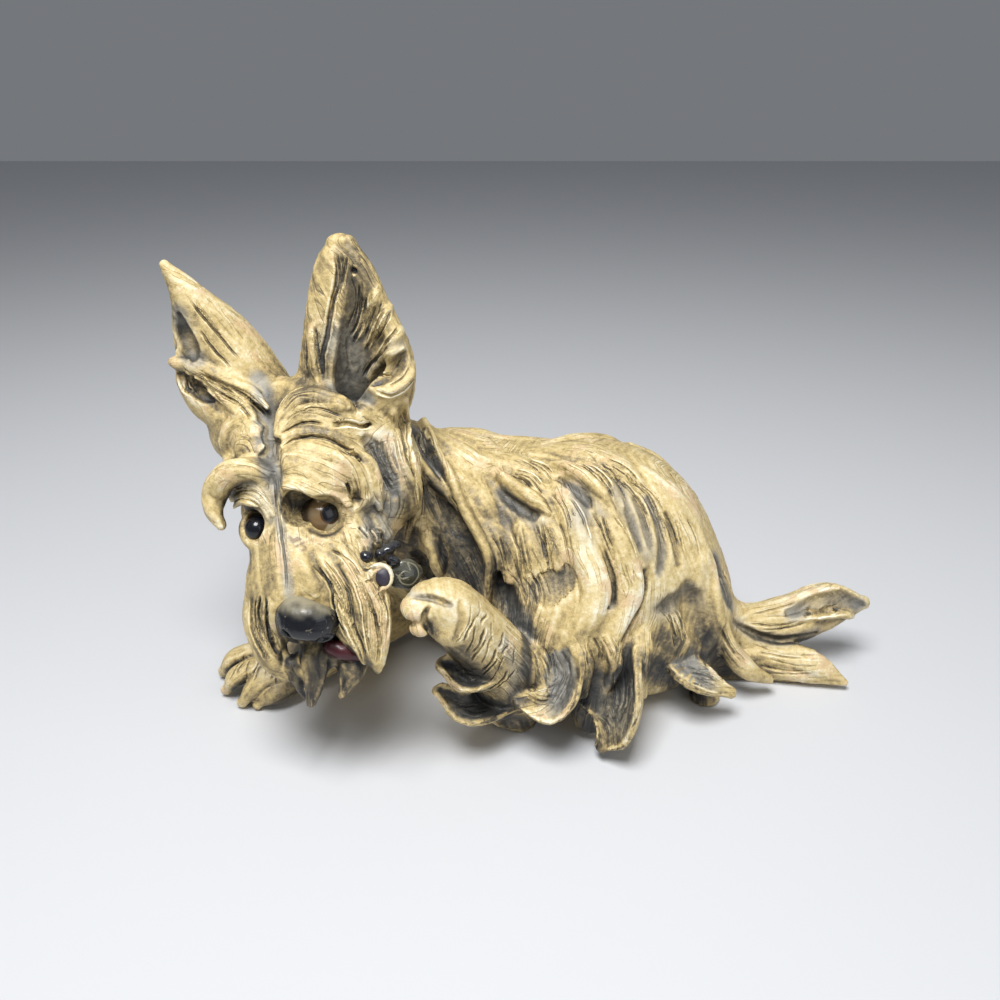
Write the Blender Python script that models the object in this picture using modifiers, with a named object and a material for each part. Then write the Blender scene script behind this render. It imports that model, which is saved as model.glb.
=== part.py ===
"""Terrier figurine lying down, cast in resin as one piece.

All sizes below are millimetres on the real figurine and are scaled by UNIT,
so LENGTH drives the whole model.  +X runs from the dog's head to its tail,
-Y is the side that the photograph shows, +Z is up and z = 0 is the table.
"""
import math

import bmesh
import bpy
import numpy as np
from mathutils import Matrix, Vector

# Driving dimensions.
LENGTH = 0.312
UNIT = LENGTH / 312
BODY_VOXEL = 3.0
BODY_SMOOTH = 10
SKIN_VOXEL = 1.9
SKIN_SMOOTH = 2
TRIANGLES = 9300
RING = 16

# The head has its own axes: across the face, up the face and out of the face.
HEAD_AT = (-82.0, -62.0, 109.0)
ACROSS = Vector((0.958, -0.116, 0.263))
UPFACE = Vector((-0.166, 0.525, 0.835))
OUTFACE = Vector((-0.235, -0.843, 0.483))

# Locks on the far side sit this many degrees lower than on the near side.
FAR_DROP = 12

# The line through the trunk that the locks of fur are laid around.
SPINE_X = (-90.0, -45.0, 100.0)
SPINE_Y = (-24.0, 5.0, 0.0)
SPINE_Z = (66.0, 53.0, 34.0)


def clear_scene():
    """Remove every object that the file opened with."""
    for old in list(bpy.data.objects):
        bpy.data.objects.remove(old, do_unlink=True)


def new_collection(name):
    """Add a collection under the scene's own."""
    made = bpy.data.collections.new(name)
    bpy.context.scene.collection.children.link(made)
    return made


def mesh_object(name, mesh, collection):
    """Put a mesh in the scene as an object."""
    obj = bpy.data.objects.new(name, mesh)
    collection.objects.link(obj)
    return obj


def even(points, count):
    """Spread count points along a Catmull-Rom curve through the given ones."""
    given = np.array(points, dtype=float)
    padded = np.vstack([2 * given[0] - given[1], given, 2 * given[-1] - given[-2]])
    place = np.linspace(0, len(given) - 1 - 1e-9, count)
    index = place.astype(int)
    part = (place - index)[:, None]
    a, b, c, d = (padded[index + shift] for shift in range(4))
    square = 2 * a - 5 * b + 4 * c - d
    cube = 3 * b - a - 3 * c + d
    return 0.5 * (2 * b + (c - a) * part + square * part**2 + cube * part**3)


def shares(values, count):
    """Spread a list of sizes over count steps."""
    values = np.array(values, dtype=float)
    if len(values) < 3:
        return np.interp(np.linspace(0, 1, count), np.linspace(0, 1, len(values)), values)
    return np.maximum(even(values[:, None], count)[:, 0], 0.3)


def unit(rows):
    """Scale each row to length 1."""
    return rows / np.linalg.norm(rows, axis=1, keepdims=True)


def ball(forms, centre, radii, head=False):
    """Add an egg shape, along the world's axes or the head's."""
    mesh = bpy.data.meshes.new("ball")
    shell = bmesh.new()
    bmesh.ops.create_uvsphere(shell, u_segments=24, v_segments=16, radius=1.0)
    turn = Matrix((ACROSS, UPFACE, OUTFACE)).transposed() if head else Matrix.Identity(3)
    stretch = Matrix.Diagonal(Vector(radii))
    for vert in shell.verts:
        vert.co = (turn @ stretch @ vert.co + Vector(centre)) * UNIT
    shell.to_mesh(mesh)
    shell.free()
    forms.append(mesh)


def sweep(forms, path, widths, depths, facing, cup, square):
    """Loft closed rings along a path; each ring is an oval whose edges are bent out by cup."""
    along = unit(np.gradient(path, axis=0))
    out = unit(facing - np.sum(facing * along, axis=1, keepdims=True) * along)
    across = np.cross(along, out)
    ends = [0, 0, *range(len(path)), len(path) - 1, len(path) - 1]
    slip = [-1.0, -0.7, *([0.0] * len(path)), 0.7, 1.0]
    shrink = [0.0, 0.7, *([1.0] * len(path)), 0.7, 0.0]
    shell = bmesh.new()
    rings = []
    for at, step, scale in zip(ends, slip, shrink):
        centre = path[at] + along[at] * step * min(widths[at], depths[at])
        if scale == 0:
            rings.append([shell.verts.new(Vector(centre) * UNIT)])
            continue
        ring = []
        for k in range(RING):
            angle = 2 * math.pi * k / RING
            side = math.copysign(abs(math.cos(angle)) ** square, math.cos(angle))
            front = math.copysign(abs(math.sin(angle)) ** square, math.sin(angle))
            bend = cup[at] * side**2
            shift = across[at] * widths[at] * side + out[at] * (depths[at] * front + bend)
            ring.append(shell.verts.new(Vector(centre + scale * shift) * UNIT))
        rings.append(ring)
    for low, high in zip(rings, rings[1:]):
        for k in range(RING):
            after = (k + 1) % RING
            if len(low) == 1:
                shell.faces.new((low[0], high[after], high[k]))
            elif len(high) == 1:
                shell.faces.new((low[k], low[after], high[0]))
            else:
                shell.faces.new((low[k], low[after], high[after], high[k]))
    bmesh.ops.recalc_face_normals(shell, faces=shell.faces)
    mesh = bpy.data.meshes.new("leaf")
    shell.to_mesh(mesh)
    shell.free()
    forms.append(mesh)


def leaf(forms, points, widths, depths, facing, cup=(0, 0), square=1.0):
    """Add a leaf, lock or limb: a half-width and a half-depth along a smooth path."""
    count = 4 * (len(points) - 1) + 1
    out = np.tile(np.array(facing, dtype=float), (count, 1))
    sweep(forms, even(points, count), shares(widths, count), shares(depths, count), out,
          np.interp(np.linspace(0, 1, count), np.linspace(0, 1, len(cup)), cup), square)


def on_trunk(trunk, along, around):
    """Find the trunk's surface at a place along the spine and an angle around it."""
    origin = Vector((along, np.interp(along, SPINE_X, SPINE_Y), np.interp(along, SPINE_X, SPINE_Z)))
    angle = math.radians(around)
    ray = Vector((0, -math.sin(angle), math.cos(angle)))
    hit, place, normal, _ = trunk.ray_cast((origin + ray * 150) * UNIT, -ray)
    if not hit:
        raise ValueError(f"no trunk at {along}, {around}")
    return np.array(place) / UNIT, np.array(normal)


def lock(forms, trunk, track, width, height, rise):
    """Lay a lock of fur on the trunk; its tip stands off by rise."""
    steps = even(track, 5)
    found = [on_trunk(trunk, *step) for step in steps]
    lift = rise * np.linspace(0, 1, 5) ** 1.5 - 0.35 * height
    normals = np.array([normal for _, normal in found])
    path = np.array([place for place, _ in found]) + normals * lift[:, None]
    sweep(forms, path, width * np.array([0.45, 0.95, 1, 0.8, 0.16]),
          height * np.array([0.5, 0.9, 1, 0.85, 0.3]), normals, np.zeros(5), 1.0)


def weld(name, forms, collection):
    """Join meshes into one object and free the loose ones."""
    shell = bmesh.new()
    for mesh in forms:
        shell.from_mesh(mesh)
        bpy.data.meshes.remove(mesh)
    joined = bpy.data.meshes.new(name)
    shell.to_mesh(joined)
    shell.free()
    return mesh_object(name, joined, collection)


def settle(obj):
    """Replace an object's modifiers by the mesh that they give."""
    graph = bpy.context.evaluated_depsgraph_get()
    mesh = bpy.data.meshes.new_from_object(obj.evaluated_get(graph))
    obj.modifiers.clear()
    old = obj.data
    obj.data = mesh
    bpy.data.meshes.remove(old)
    bpy.context.view_layer.update()


def remesh(obj, voxel):
    """Fuse overlapping closed forms into one skin."""
    skin = obj.modifiers.new("skin", "REMESH")
    skin.mode = "VOXEL"
    skin.voxel_size = voxel * UNIT


def smooth(obj, rounds):
    """Round the seams between the fused forms."""
    ease = obj.modifiers.new("ease", "SMOOTH")
    ease.factor = 0.5
    ease.iterations = rounds


def cut(obj, cutter):
    """Take a cutter's volume out of an object."""
    knife = obj.modifiers.new("cut", "BOOLEAN")
    knife.operation = "DIFFERENCE"
    knife.object = cutter
    knife.solver = "EXACT"


def trunk_forms(forms):
    """The big masses: hindquarters, shoulder, belly, chest, neck and near thigh."""
    ball(forms, (40, 4, 52), (62, 56, 58))
    ball(forms, (-12, 14, 62), (42, 45, 43))
    ball(forms, (74, -4, 30), (37, 43, 35))
    ball(forms, (32, -2, 20), (60, 52, 30))
    ball(forms, (-34, 20, 50), (24, 24, 34))
    ball(forms, (-52, 18, 60), (20, 24, 34))
    leaf(forms, [(-10, 8, 66), (-44, 0, 88), (-72, -14, 110)], [40, 34, 30], [36, 29, 28], (0, -1, 0.15))
    ball(forms, (32, -40, 36), (30, 22, 30))
    ball(forms, (30, 44, 34), (32, 20, 30))


def skull_forms(forms):
    """The skull, the forehead and the muzzle under the fur."""
    ball(forms, (-74, -21, 109), (30, 36, 32), head=True)
    ball(forms, (-79, -23, 121), (30, 24, 24), head=True)
    leaf(forms, [(-79, -36, 110), (-76, -55, 91), (-72, -72, 74)], [21, 17, 15], [20, 17, 14], OUTFACE)


def both_sides(track):
    """Give a lock's track on the near side and its twin a little lower on the far side."""
    return track, [(x, -turn - FAR_DROP) for x, turn in track]


def socket_forms(forms):
    """What is hollowed out of the skull: the furrow of the forehead and the eye sockets."""
    ball(forms, (-90, -35, 137), (9, 22, 9), head=True)
    ball(forms, (-76, -62, 113), (9, 7, 9), head=True)
    ball(forms, (-65, -66, 114), (10, 7, 8), head=True)
    ball(forms, (-95, -61, 107), (9, 7, 8), head=True)


def slot_forms(forms):
    """What is hollowed out of the finished skin: two slots of the far ear and the tail's end."""
    ball(forms, (-125, -24, 166), (4, 9, 7))
    leaf(forms, [(-128, -25, 157), (-121, -28, 150), (-113, -30, 143)], [2, 3, 2], [4, 6, 4], (0, -1, 0.15))
    leaf(forms, [(141, -16, 34), (155, -15, 38), (170, -12, 37)], [3, 6, 3], [3, 4, 3], (0, -1, 0.15))


def mane(forms, trunk):
    """Ridges of fur from behind the ears down to the chest."""
    for track, width, height, rise in (
            ([(-41, 10), (-38, 24), (-35, 33), (-38, 46)], 4, 6, 3),
            ([(-32, 3), (-25, 19), (-18, 32), (-6, 50)], 5, 6, 4),
            ([(-9, 40), (-5, 53), (-4, 66), (-6, 85)], 4, 5, 2),
            ([(-37, 19), (-31, 23), (-25, 28), (-20, 39)], 3, 4, 2),
            ([(-32, 45), (-27, 56), (-26, 70), (-27, 87)], 3.5, 5, 1),
            ([(-13, 12), (-4, 27), (1, 48), (0, 70)], 6, 3, 1)):
        for laid in both_sides(track):
            lock(forms, trunk, laid, width, height, rise)


def flank(forms, trunk):
    """Locks over the flank and the rump, and the two raised clumps on the near side."""
    for track in ([(-2, 10), (9, 15), (16, 23), (20, 35)],
                  [(24, 11), (35, 18), (43, 24), (48, 34)]):
        lock(forms, trunk, track, 6.5, 6, 5)
    for track, width, height, rise in (
            ([(3, 27), (8, 45), (9, 66), (7, 84)], 7, 3, 1),
            ([(15, 34), (20, 51), (22, 69), (17, 85)], 7, 3, 1),
            ([(24, 28), (30, 38), (36, 51), (37, 64), (31, 79)], 6, 5, 2),
            ([(37, 38), (42, 49), (46, 60), (41, 75)], 5, 4, 2),
            ([(47, 33), (53, 44), (57, 57), (51, 74)], 6.5, 5, 3),
            ([(57, 16), (65, 29), (69, 44), (66, 62)], 7, 3, 1),
            ([(71, 10), (80, 22), (86, 35), (86, 57)], 6, 3, 1.5),
            ([(60, 60), (56, 73), (62, 86), (60, 97)], 6, 5, 3)):
        for laid in both_sides(track):
            lock(forms, trunk, laid, width, height, rise)


def nape(forms, trunk):
    """Rows of fur down the far side of the neck."""
    for step in range(6):
        x = -84 + 9 * step
        lock(forms, trunk, [(x, -8 - 2 * step), (x + 9, -26 - 2 * step), (x + 14, -46 - 2 * step)], 6, 5, 3)
        lock(forms, trunk, [(x + 6, -40 - 2 * step), (x + 13, -62), (x + 14, -84)], 6, 5, 3)


def back(forms, trunk):
    """The low ridge of fur along the spine."""
    lock(forms, trunk, [(-27, -8), (-14, -4), (0, 0)], 8, 4, 1)
    lock(forms, trunk, [(14, -3), (31, 0), (48, 9), (61, 16)], 9, 3, 1)


def far_skirt(forms, trunk):
    """A plain row of locks that hang along the far side."""
    for x in range(-20, 90, 18):
        lock(forms, trunk, [(x, -72), (x + 5, -88), (x + 3, -104)], 7, 6, 3)


def face(forms):
    """Folds of the forehead, brows, eyes and the bridge of the nose."""
    leaf(forms, [(-82, -44, 134), (-76, -36, 143), (-60, -29, 145), (-50, -27, 140), (-46, -30, 132)],
         [3, 5, 6, 5, 3], [3, 5, 6, 6, 4], OUTFACE)
    leaf(forms, [(-83, -47, 129), (-77, -44, 137), (-67, -43, 138), (-57, -42, 133), (-49, -38, 117)],
         [2, 4, 4, 3, 2], [2, 4, 4, 3, 2], OUTFACE)
    leaf(forms, [(-84, -55, 124), (-75, -60, 128), (-64, -64, 127), (-58, -66, 121)],
         [7, 10, 9, 5], [7, 9, 8, 5], OUTFACE)
    leaf(forms, [(-62, -46, 130), (-54, -46, 125), (-50, -48, 117), (-52, -53, 109)],
         [3, 4.5, 4.5, 2.5], [3, 5, 5, 3], OUTFACE)
    leaf(forms, [(-56, -41, 128), (-49, -40, 120), (-46, -43, 111), (-47, -47, 101)],
         [2.5, 4, 4, 2], [3, 5, 5, 3], OUTFACE)
    leaf(forms, [(-90, -54, 122), (-99, -55, 123), (-108, -56, 115), (-107, -63, 107)],
         [5, 7, 5.5, 2.5], [6, 7, 6, 3], OUTFACE)
    leaf(forms, [(-105, -21, 137), (-111, -26, 127), (-102, -44, 123)], [8, 10, 7], [4, 6, 4], OUTFACE)
    leaf(forms, [(-85, -30, 146), (-85, -46, 135), (-83, -55, 122)], [6, 7, 4], [4, 4, 3], OUTFACE)
    ball(forms, (-66, -60, 109), (8, 8, 8), head=True)
    ball(forms, (-97, -54, 101), (7.5, 7.5, 8), head=True)
    leaf(forms, [(-90, -55, 113), (-86, -66, 102), (-82, -74, 91), (-77, -80, 81)],
         [5, 5, 6, 8], [5, 7, 8, 7], OUTFACE)


def far_cheek(forms):
    """Fur that hangs from the far side of the head."""
    leaf(forms, [(-104, -20, 108), (-103, -24, 88), (-94, -32, 66)], [8, 10, 3], [5, 6, 3], (-0.9, 0.3, 0.2))
    leaf(forms, [(-98, -4, 108), (-96, -4, 86), (-86, -10, 64)], [8, 10, 3], [5, 6, 3], (-0.8, 0.6, 0.2))
    leaf(forms, [(-88, 8, 112), (-84, 12, 92), (-74, 8, 70)], [8, 10, 3], [5, 6, 3], (-0.5, 0.8, 0.2))


def muzzle(forms):
    """The moustache, nose, beard and near cheek."""
    leaf(forms, [(-71, -65, 99), (-59, -76, 91), (-52, -82, 75), (-50, -74, 45)],
         [9, 13, 12, 2.5], [7, 8, 6, 2.5], OUTFACE, cup=(-2, -2))
    leaf(forms, [(-75, -69, 94), (-65, -81, 82), (-59, -82, 63)], [7, 8, 3], [6, 6, 3], OUTFACE)
    leaf(forms, [(-90, -61, 94), (-94, -68, 80), (-97, -74, 64), (-95, -72, 40)],
         [9, 11, 9, 2.5], [7, 8, 5, 2.5], OUTFACE)
    leaf(forms, [(-76, -80, 81), (-74, -84, 76), (-73, -85, 73)], [10, 12.5, 11], [7, 8, 7], OUTFACE, square=0.7)
    leaf(forms, [(-71, -67, 69), (-79, -70, 46), (-83, -60, 17)], [11, 9, 2.5], [9, 7, 2.5], (0, -1, 0.15))
    leaf(forms, [(-62, -65, 67), (-61, -62, 40), (-70, -58, 20)], [7, 6, 2], [7, 5, 2], (0, -1, 0.15))
    leaf(forms, [(-43, -40, 119), (-43, -50, 102), (-46, -62, 84)], [10, 12, 9], [8, 9, 8], (0, -1, 0.15))


def fly(forms):
    """The fly that sits on the near cheek: head, body, eye and wing."""
    ball(forms, (-50, -77, 100), (3.5, 3.5, 3))
    ball(forms, (-44, -69, 97), (7, 5, 4.5))
    ball(forms, (-45, -78, 92), (6, 6, 4), head=True)
    leaf(forms, [(-40, -72, 92), (-36, -70, 89), (-32, -66, 84)], [4, 5.5, 4], [2.5, 2, 1.5], OUTFACE)


def ears(forms):
    """The near ear with its folded lobe and the far ear, both thin cupped shells."""
    leaf(forms, [(-61, -18, 132), (-57, -20, 153), (-59, -17, 179), (-60, -14, 195), (-61, -12, 204)],
         [20, 24, 17, 11.5, 5], [5, 4.5, 4, 3.5, 3], (-0.05, -0.98, 0.15), cup=(10, 15, 10, 6, 0), square=0.7)
    leaf(forms, [(-54, -26, 136), (-42, -34, 143), (-35, -36, 155), (-33, -30, 162)],
         [6, 7, 6, 3], [5, 4, 3, 2.5], (-0.6, -0.6, 0.2), cup=(2, 3, 2, 0))
    leaf(forms, [(-99, -18, 129), (-103, -16, 140), (-115, -13, 163), (-125, -11, 183), (-132, -10, 195)],
         [16, 19, 16.5, 7, 2], [5.5, 5.5, 5, 4, 2.5], (0.3, -0.85, 0.3), cup=(-8, -9, -8, -3, 0))
    leaf(forms, [(-112, -20, 130), (-119, -20, 140), (-124, -19, 151), (-127, -17, 160)],
         [5, 8, 7, 3], [6, 5, 4, 2.5], (0.3, -0.85, 0.3), cup=(-3, -3, -2, 0))


def forelegs(forms):
    """The foreleg that lies on the table and the one raised towards the fly."""
    leaf(forms, [(-28, 32, 38), (-45, 19, 21), (-68, -1, 15), (-90, -21, 13)], [19, 16, 14, 14], [18, 15, 13, 12],
         (0, 0, 1))
    ball(forms, (-104, -31, 11), (19, 15, 13))
    for centre in ((-125, -24, 8), (-121, -32, 7), (-111, -40, 8)):
        ball(forms, centre, (8, 5.5, 6))
    leaf(forms, [(5, -50, 15), (1, -60, 37), (-10, -68, 60), (-19, -74, 75)],
         [16, 15, 13, 12], [16, 14, 13, 12], (0, -1, 0.15))
    ball(forms, (-24, -76, 79), (12, 10, 10))
    ball(forms, (-28, -83, 83), (7, 6.5, 5.5))
    ball(forms, (-23, -80, 69), (8.5, 7, 6.5))
    ball(forms, (-30, -84, 75), (4, 4, 3))
    leaf(forms, [(0, -60, 36), (-13, -72, 39), (-24, -76, 50)],
         [11, 10, 4], [4, 3, 2], (-0.3, -0.35, 0.9), cup=(2, 5, 3))
    leaf(forms, [(4, -58, 18), (-12, -70, 21), (-26, -72, 34)],
         [11, 10, 3.5], [4, 3, 2], (-0.3, -0.35, 0.9), cup=(2, 5, 3))


def skirt(forms):
    """The curled locks that hang to the table along the belly."""
    leaf(forms, [(28, -56, 42), (30, -66, 33), (22, -72, 26), (7, -72, 29)],
         [7, 9, 9, 3], [4, 3.5, 3, 2], (-0.4, -0.5, 0.75), cup=(2, 5, 5, 1))
    leaf(forms, [(55, -50, 38), (53, -62, 27), (50, -70, 15), (44, -74, 6)],
         [8, 13, 13, 3], [6, 5, 4, 2.5], (-0.7, -0.7, 0.1), cup=(2, 8, 8, 1))
    leaf(forms, [(67, -44, 47), (60, -54, 42), (58, -60, 36), (62, -62, 25)],
         [4, 5.5, 5, 2.5], [4, 5, 5, 3], (0, -1, 0.15))
    leaf(forms, [(78, -38, 26), (84, -50, 24), (103, -50, 14)],
         [6, 8, 2.5], [4, 3.5, 2], (0, -0.5, 0.85), cup=(2, 4, 0))
    for x in (20, 35):
        leaf(forms, [(x, -56, 50), (x + 2, -64, 42), (x, -63, 28)], [5, 6, 3], [4, 5, 3], (0, -1, 0.15))
    ball(forms, (9, -52, 2), (9, 8, 8))
    ball(forms, (93, -36, 2), (10, 10, 8))


def tail(forms):
    """The tail's two lobes and the ridge that leads to them from the rump."""
    leaf(forms, [(97, -8, 21), (119, -8, 20), (140, -8, 25), (158, -6, 31), (175, -5, 32)],
         [20, 12, 12.5, 12, 3.5], [16, 11, 10, 8, 3], (0, -1, 0.15))
    leaf(forms, [(98, -12, 10), (122, -18, 9), (146, -24, 9), (162, -30, 4)],
         [16, 11, 9, 2], [14, 9, 7, 2], (0, -1, 0.15))
    leaf(forms, [(88, -28, 70), (97, -22, 45), (102, -32, 30), (112, -36, 17), (125, -34, 9)],
         [3, 5, 5, 5, 2], [4, 6, 6, 5, 3], (0, -1, 0.15))


def painted_resin():
    """The ochre paint of the casting."""
    paint = bpy.data.materials.new("painted_resin")
    paint.use_nodes = True
    shader = paint.node_tree.nodes["Principled BSDF"]
    shader.inputs["Base Color"].default_value = (0.50, 0.35, 0.13, 1)
    shader.inputs["Roughness"].default_value = 0.45
    shader.inputs["Metallic"].default_value = 0.0
    paint.diffuse_color = (0.50, 0.35, 0.13, 1)
    return paint


def build():
    """Model the casting and leave it in its collection."""
    clear_scene()
    casting = new_collection("resin_dog_figurine")
    cutters = new_collection("cutters")

    forms = []
    trunk_forms(forms)
    skull_forms(forms)
    trunk = weld("trunk", forms, casting)
    remesh(trunk, BODY_VOXEL)
    smooth(trunk, BODY_SMOOTH)
    settle(trunk)

    hollows = []
    socket_forms(hollows)
    sockets = weld("sockets", hollows, cutters)
    remesh(sockets, SKIN_VOXEL)
    cut(trunk, sockets)
    settle(trunk)

    forms = [trunk.data.copy()]
    mane(forms, trunk)
    flank(forms, trunk)
    nape(forms, trunk)
    back(forms, trunk)
    far_skirt(forms, trunk)
    face(forms)
    muzzle(forms)
    fly(forms)
    far_cheek(forms)
    ears(forms)
    forelegs(forms)
    skirt(forms)
    tail(forms)
    dog = weld("dog_figurine", forms, casting)
    bpy.data.objects.remove(trunk, do_unlink=True)
    remesh(dog, SKIN_VOXEL)
    slots = []
    slot_forms(slots)
    slots = weld("slots", slots, cutters)
    cut(dog, slots)
    smooth(dog, SKIN_SMOOTH)
    settle(dog)

    thin = dog.modifiers.new("facets", "DECIMATE")
    thin.ratio = TRIANGLES / sum(len(face.vertices) - 2 for face in dog.data.polygons)

    table = bpy.data.meshes.new("table")
    block = bmesh.new()
    bmesh.ops.create_cube(block, size=1.0)
    bmesh.ops.scale(block, vec=Vector((2, 2, 0.4)) * LENGTH, verts=block.verts)
    bmesh.ops.translate(block, vec=Vector((0, 0, -0.2)) * LENGTH, verts=block.verts)
    block.to_mesh(table)
    block.free()
    floor = mesh_object("table_plane", table, cutters)
    cut(dog, floor)

    for knife in cutters.objects:
        knife.hide_render = True
        knife.display_type = "WIRE"
    dog.data.materials.clear()
    dog.data.materials.append(painted_resin())


build()
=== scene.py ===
# %% [markdown]
# # A painted resin terrier
# The real object is one hollow resin casting about 31 cm long: a terrier that lies down, turns
# its head to us and lifts one forepaw towards the fly on its cheek. It was painted ochre, washed
# with a dark glaze that stayed in the hollows, and rubbed with cream on the high places.
#
# This lesson builds the casting the way a sculptor does. Simple eggs and leaves of clay are
# pressed together, locks of hair are laid on the trunk, and strands are combed into them. Each
# form is a distance formula, so forms can melt into each other or cut one another, and at the end
# one skin is drawn where the distance is zero.

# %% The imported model
import math

import bmesh
import bpy
import numpy as np
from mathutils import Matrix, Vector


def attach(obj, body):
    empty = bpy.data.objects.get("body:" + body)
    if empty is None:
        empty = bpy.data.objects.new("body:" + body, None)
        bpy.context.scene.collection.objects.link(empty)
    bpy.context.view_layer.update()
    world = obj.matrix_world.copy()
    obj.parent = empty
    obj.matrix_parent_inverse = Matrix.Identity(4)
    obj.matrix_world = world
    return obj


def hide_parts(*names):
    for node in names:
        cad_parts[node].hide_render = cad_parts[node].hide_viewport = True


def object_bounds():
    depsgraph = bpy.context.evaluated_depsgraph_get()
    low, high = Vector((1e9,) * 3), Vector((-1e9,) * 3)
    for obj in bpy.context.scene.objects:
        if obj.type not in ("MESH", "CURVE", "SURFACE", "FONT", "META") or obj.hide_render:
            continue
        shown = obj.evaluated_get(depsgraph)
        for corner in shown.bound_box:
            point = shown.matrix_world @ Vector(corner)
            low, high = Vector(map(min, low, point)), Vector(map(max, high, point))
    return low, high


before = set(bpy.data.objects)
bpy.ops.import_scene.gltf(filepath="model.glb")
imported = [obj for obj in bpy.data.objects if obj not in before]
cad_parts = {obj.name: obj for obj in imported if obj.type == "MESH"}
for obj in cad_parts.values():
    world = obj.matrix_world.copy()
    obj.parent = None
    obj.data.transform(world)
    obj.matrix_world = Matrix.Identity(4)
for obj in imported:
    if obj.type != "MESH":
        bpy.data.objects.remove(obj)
cad_low, cad_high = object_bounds()
MM = (cad_high[0] - cad_low[0]) / 310.6
print("one millimetre of the figurine is", round(MM, 6), "m")

# %% [markdown]
# ## Directions
# The trunk runs from the neck to the tail along a bent spine line, and locks are laid by their
# place along it and an angle around it: 0 is up, 90 is the side that faces us. The head has axes
# of its own, because it is turned and tilted: across the face, up the face and out of the face.

# %% Directions and step sizes
NEAR = (0, -1, 0.15)
ACROSS = np.array((0.958, -0.116, 0.263))
UPFACE = np.array((-0.166, 0.525, 0.835))
OUTFACE = np.array((-0.235, -0.843, 0.483))
HEAD = np.stack([ACROSS, UPFACE, OUTFACE], 1)
HEAD_AT = np.array((-82.0, -62.0, 109.0))
FACE_Z = np.array((0.245, -0.855, 0.457))
FACE_X = np.array((0.961, 0.275, 0.0))
FACE_Y = np.array((-0.126, 0.439, 0.890))
SPINE_X, SPINE_Y, SPINE_Z = (-90, -45, 100), (-24, 5, 0), (66, 53, 34)
COARSE = 3.0
SPLIT = 5
STEP = COARSE / SPLIT
print("coarse step", COARSE, "mm, fine step", STEP, "mm")

# %% [markdown]
# ## Curves
# A lock of hair or a leg follows a smooth curve through a few points. A Catmull-Rom curve passes
# through every point it is given, which makes it easy to steer; a Bezier curve would need handles.


# %% Curves
def curve(points, count):
    """Catmull-Rom: between two points a cubic whose slope at each is half the step across it."""
    given = np.asarray(points, float)
    if given.ndim == 1:
        given = given[:, None]
    padded = np.vstack([2 * given[0] - given[1], given, 2 * given[-1] - given[-2]])
    place = np.linspace(0, len(given) - 1 - 1e-9, count)
    index = place.astype(int)
    part = (place - index)[:, None]
    a, b, c, d = (padded[index + k] for k in range(4))
    return 0.5 * (2 * b + (c - a) * part + (2 * a - 5 * b + 4 * c - d) * part**2
                  + (3 * b - a - 3 * c + d) * part**3)


def spread(values, count):
    """Widths along a curve: straight between two values, Catmull-Rom through more."""
    values = np.atleast_1d(np.asarray(values, float))
    if len(values) < 3:
        return np.interp(np.linspace(0, 1, count), np.linspace(0, 1, len(values)), values)
    return np.maximum(curve(values, count)[:, 0], 0.25)


def unit(rows):
    """Each row divided by its length."""
    return rows / np.maximum(np.linalg.norm(rows, axis=-1, keepdims=True), 1e-9)


# %% [markdown]
# ## Forms of clay
# An egg's distance is (r - 1) r / |gradient|, where r is 1 on its skin. A leaf is a lens-shaped
# section carried along a curve: half-width across, half-depth towards its facing, its edges bent
# by cup, and strands combed along it as V-shaped grooves around the section. A squarer section
# (a higher power) keeps a thin rim, as on an ear.


# %% Eggs
class Egg:
    """An ellipsoid along the world's axes or the head's."""

    def __init__(self, centre, radii, head=False, blend=6.0, cut=False, name=""):
        self.centre = np.asarray(centre, float)
        self.radii = np.ones(3) * np.asarray(radii, float)
        self.axes = HEAD if head else np.eye(3)
        self.blend, self.cut, self.name = blend, cut, name
        reach = np.sqrt(((self.axes * self.radii) ** 2).sum(1))
        self.low, self.high = self.centre - reach, self.centre + reach

    def near(self, points, margin):
        """True for points that may lie within the margin."""
        away = (points - self.centre) @ self.axes / (self.radii + margin)
        return (away**2).sum(-1) < 1

    def distance(self, points):
        """(k - 1) k / |k's gradient| with k the length of the point over the radii."""
        local = (points - self.centre) @ self.axes
        k = np.sqrt(((local / self.radii) ** 2).sum(-1))
        slope = np.sqrt(((local / self.radii**2) ** 2).sum(-1))
        return k * (k - 1) / np.maximum(slope, 1e-6)


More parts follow.
